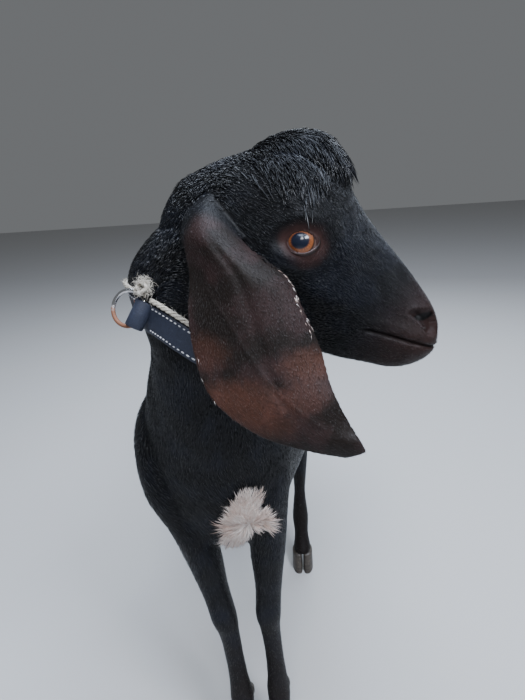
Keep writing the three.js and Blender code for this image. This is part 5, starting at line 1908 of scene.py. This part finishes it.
knot_at = neck_point(FOLD_ANGLE, COLLAR_WIDTH / 2 + 9.5, 6.6)[0]
knot_axes = np.array([FOLD_WAY * 9, fold_out * 5.6, COLLAR_WAY * 8])
t = np.linspace(0, 2 * math.pi, 420)
for k in range(3):
    a = 2 * t + k * 0.35
    loop = np.stack([
        np.sin(a) + 0.28 * np.sin(3 * t + k), 0.75 * np.cos(3 * t + k * 2.1), np.cos(a) - 0.3 * np.cos(3 * t)
    ], -1)
    strands.append(tube(knot_at + (loop * 0.62) @ knot_axes, KNOT_STRAND))
twine = many_lofts("twine", strands)
settle(twine, TWINE, "cord", "collar_cord")


def fibres(name, starts, ways, lengths, width, spread):
    """Thin bent spikes: frayed ends of thread or rope."""
    made = []
    for start, way, length in zip(starts, ways, lengths):
        bend = unit(way + rng.normal(0, spread, 3))
        end_bend = unit(bend + rng.normal(0, spread, 3))
        steps = ((way, 0), (way, 0.4), (bend, 0.7), (end_bend, 1))
        spine = spline([start + step * length * share for step, share in steps], np.linspace(0, 1, 7))
        made.append(tube(spine, width * np.linspace(1, 0.25, 7), 4))
    return many_lofts(name, made)


picks = rng.integers(0, len(centre_line), EDGE_FRAYS)
leaning = outward[picks] * 0.7 + COLLAR_WAY * rng.uniform(0, 1, (EDGE_FRAYS, 1))
fray_ways = unit(leaning + rng.normal(0, 0.5, (EDGE_FRAYS, 3)))
starts = centre_line[picks] + fray_ways * 1.4
edge_fuzz = fibres("twine_frays", starts, fray_ways, rng.uniform(2, 5, EDGE_FRAYS), 0.22, 0.5)
settle(edge_fuzz, TWINE, "cord")
ball = unit(rng.normal(0, 1, (KNOT_FRAYS, 3)) + [0, 0, 0.5])
starts = knot_at + (ball * 0.7) @ knot_axes
ball_ways = unit(ball @ knot_axes * 0.1 + COLLAR_WAY * 0.5)
knot_fuzz = fibres("knot_frays", starts, ball_ways, rng.uniform(4, 9, KNOT_FRAYS), 0.26, 0.5)
settle(knot_fuzz, TWINE, "cord")
print("ring, twine and knot in place")

# %% [markdown]
# A plain pale floor and large soft lights stand in for a studio. A black coat shows only through what it
# reflects, so the lights are broad: a cool one above, one at the goat's left, one in front, one behind.

# %% Floor and lights
FLOOR_HALF = 6.0
FLOOR_GREY = (0.48, 0.475, 0.47)
corners = [(x * FLOOR_HALF, y * FLOOR_HALF, 0) for x, y in ((-1, -1), (1, -1), (1, 1), (-1, 1))]
floor = new_object("floor", corners, [[0, 1, 2, 3]], smooth=False)
floor.data.materials.append(Paint("stage").finish({"Base Color": FLOOR_GREY, "Roughness": 0.9}))


def soft_light(name, at, target, size, power, colour):
    lamp = bpy.data.lights.new(name, "AREA")
    lamp.shape = "RECTANGLE"
    lamp.size, lamp.size_y = size
    lamp.energy = power
    lamp.color = colour
    holder = bpy.data.objects.new(name, lamp)
    holder.location = at
    holder.rotation_euler = (Vector(target) - Vector(at)).to_track_quat("-Z", "Y").to_euler()
    bpy.context.scene.collection.objects.link(holder)


# Each light has a place from the chest in metres, a size in metres, a power in watts and a colour.
HEART = Vector(place((0, 60, 520)))
LIGHTS = {
    "sky": ((0.1, 0.1, 1.9), (1.8, 1.8), 84, (0.73, 0.83, 1.0)),
    "yard": ((1.0, -1.0, 1.6), (0.6, 0.6), 44, (0.82, 0.88, 1.0)),
    "lamp": ((0.1, -1.4, 1.6), (0.6, 0.6), 28, (0.90, 0.93, 1.0)),
    "rim": ((0.4, 1.7, 1.0), (1.2, 0.9), 24, (0.80, 0.90, 1.0)),
}
for name, (shift, size, power, colour) in LIGHTS.items():
    soft_light(name, HEART + Vector(shift), HEART, size, power, colour)
world = bpy.data.worlds.new("studio")
world.use_nodes = True
background = world.node_tree.nodes["Background"].inputs
background["Color"].default_value = (0.74, 0.77, 0.8, 1)
background["Strength"].default_value = 0.21
bpy.context.scene.world = world
print("lights:", list(LIGHTS))

# %% [markdown]
# The camera stands where the photographer did: close in front of the goat, at the height of its head,
# looking down its back, with the picture tilted a few degrees.

# %% Camera
CAMERA_AT = np.array([66, -472, 730])
HEADING = math.radians(4.0)
PITCH = math.radians(20.4)
CAMERA_ROLL = math.radians(4.1)
FOCAL_PIXELS = 526
PICTURE_TALL = 700
SENSOR = 36

ahead = np.array([-math.sin(HEADING), math.cos(HEADING), 0])
right = np.array([math.cos(HEADING), math.sin(HEADING), 0])
forward = ahead * math.cos(PITCH) + np.array([0, 0, -math.sin(PITCH)])
upward = ahead * math.sin(PITCH) + np.array([0, 0, math.cos(PITCH)])
rolled_right = right * math.cos(CAMERA_ROLL) - upward * math.sin(CAMERA_ROLL)
rolled_up = right * math.sin(CAMERA_ROLL) + upward * math.cos(CAMERA_ROLL)
camera_data = bpy.data.cameras.new("camera")
camera_data.sensor_width = SENSOR
camera_data.lens = FOCAL_PIXELS / PICTURE_TALL * SENSOR
camera_data.clip_start = 0.01
camera = bpy.data.objects.new("camera", camera_data)
turned = Matrix(np.array([rolled_right, rolled_up, -forward]).T.tolist()).to_4x4()
turned.translation = Vector(place(CAMERA_AT))
camera.matrix_world = turned
bpy.context.scene.collection.objects.link(camera)
bpy.context.scene.camera = camera
print("camera at", place(CAMERA_AT).round(3))
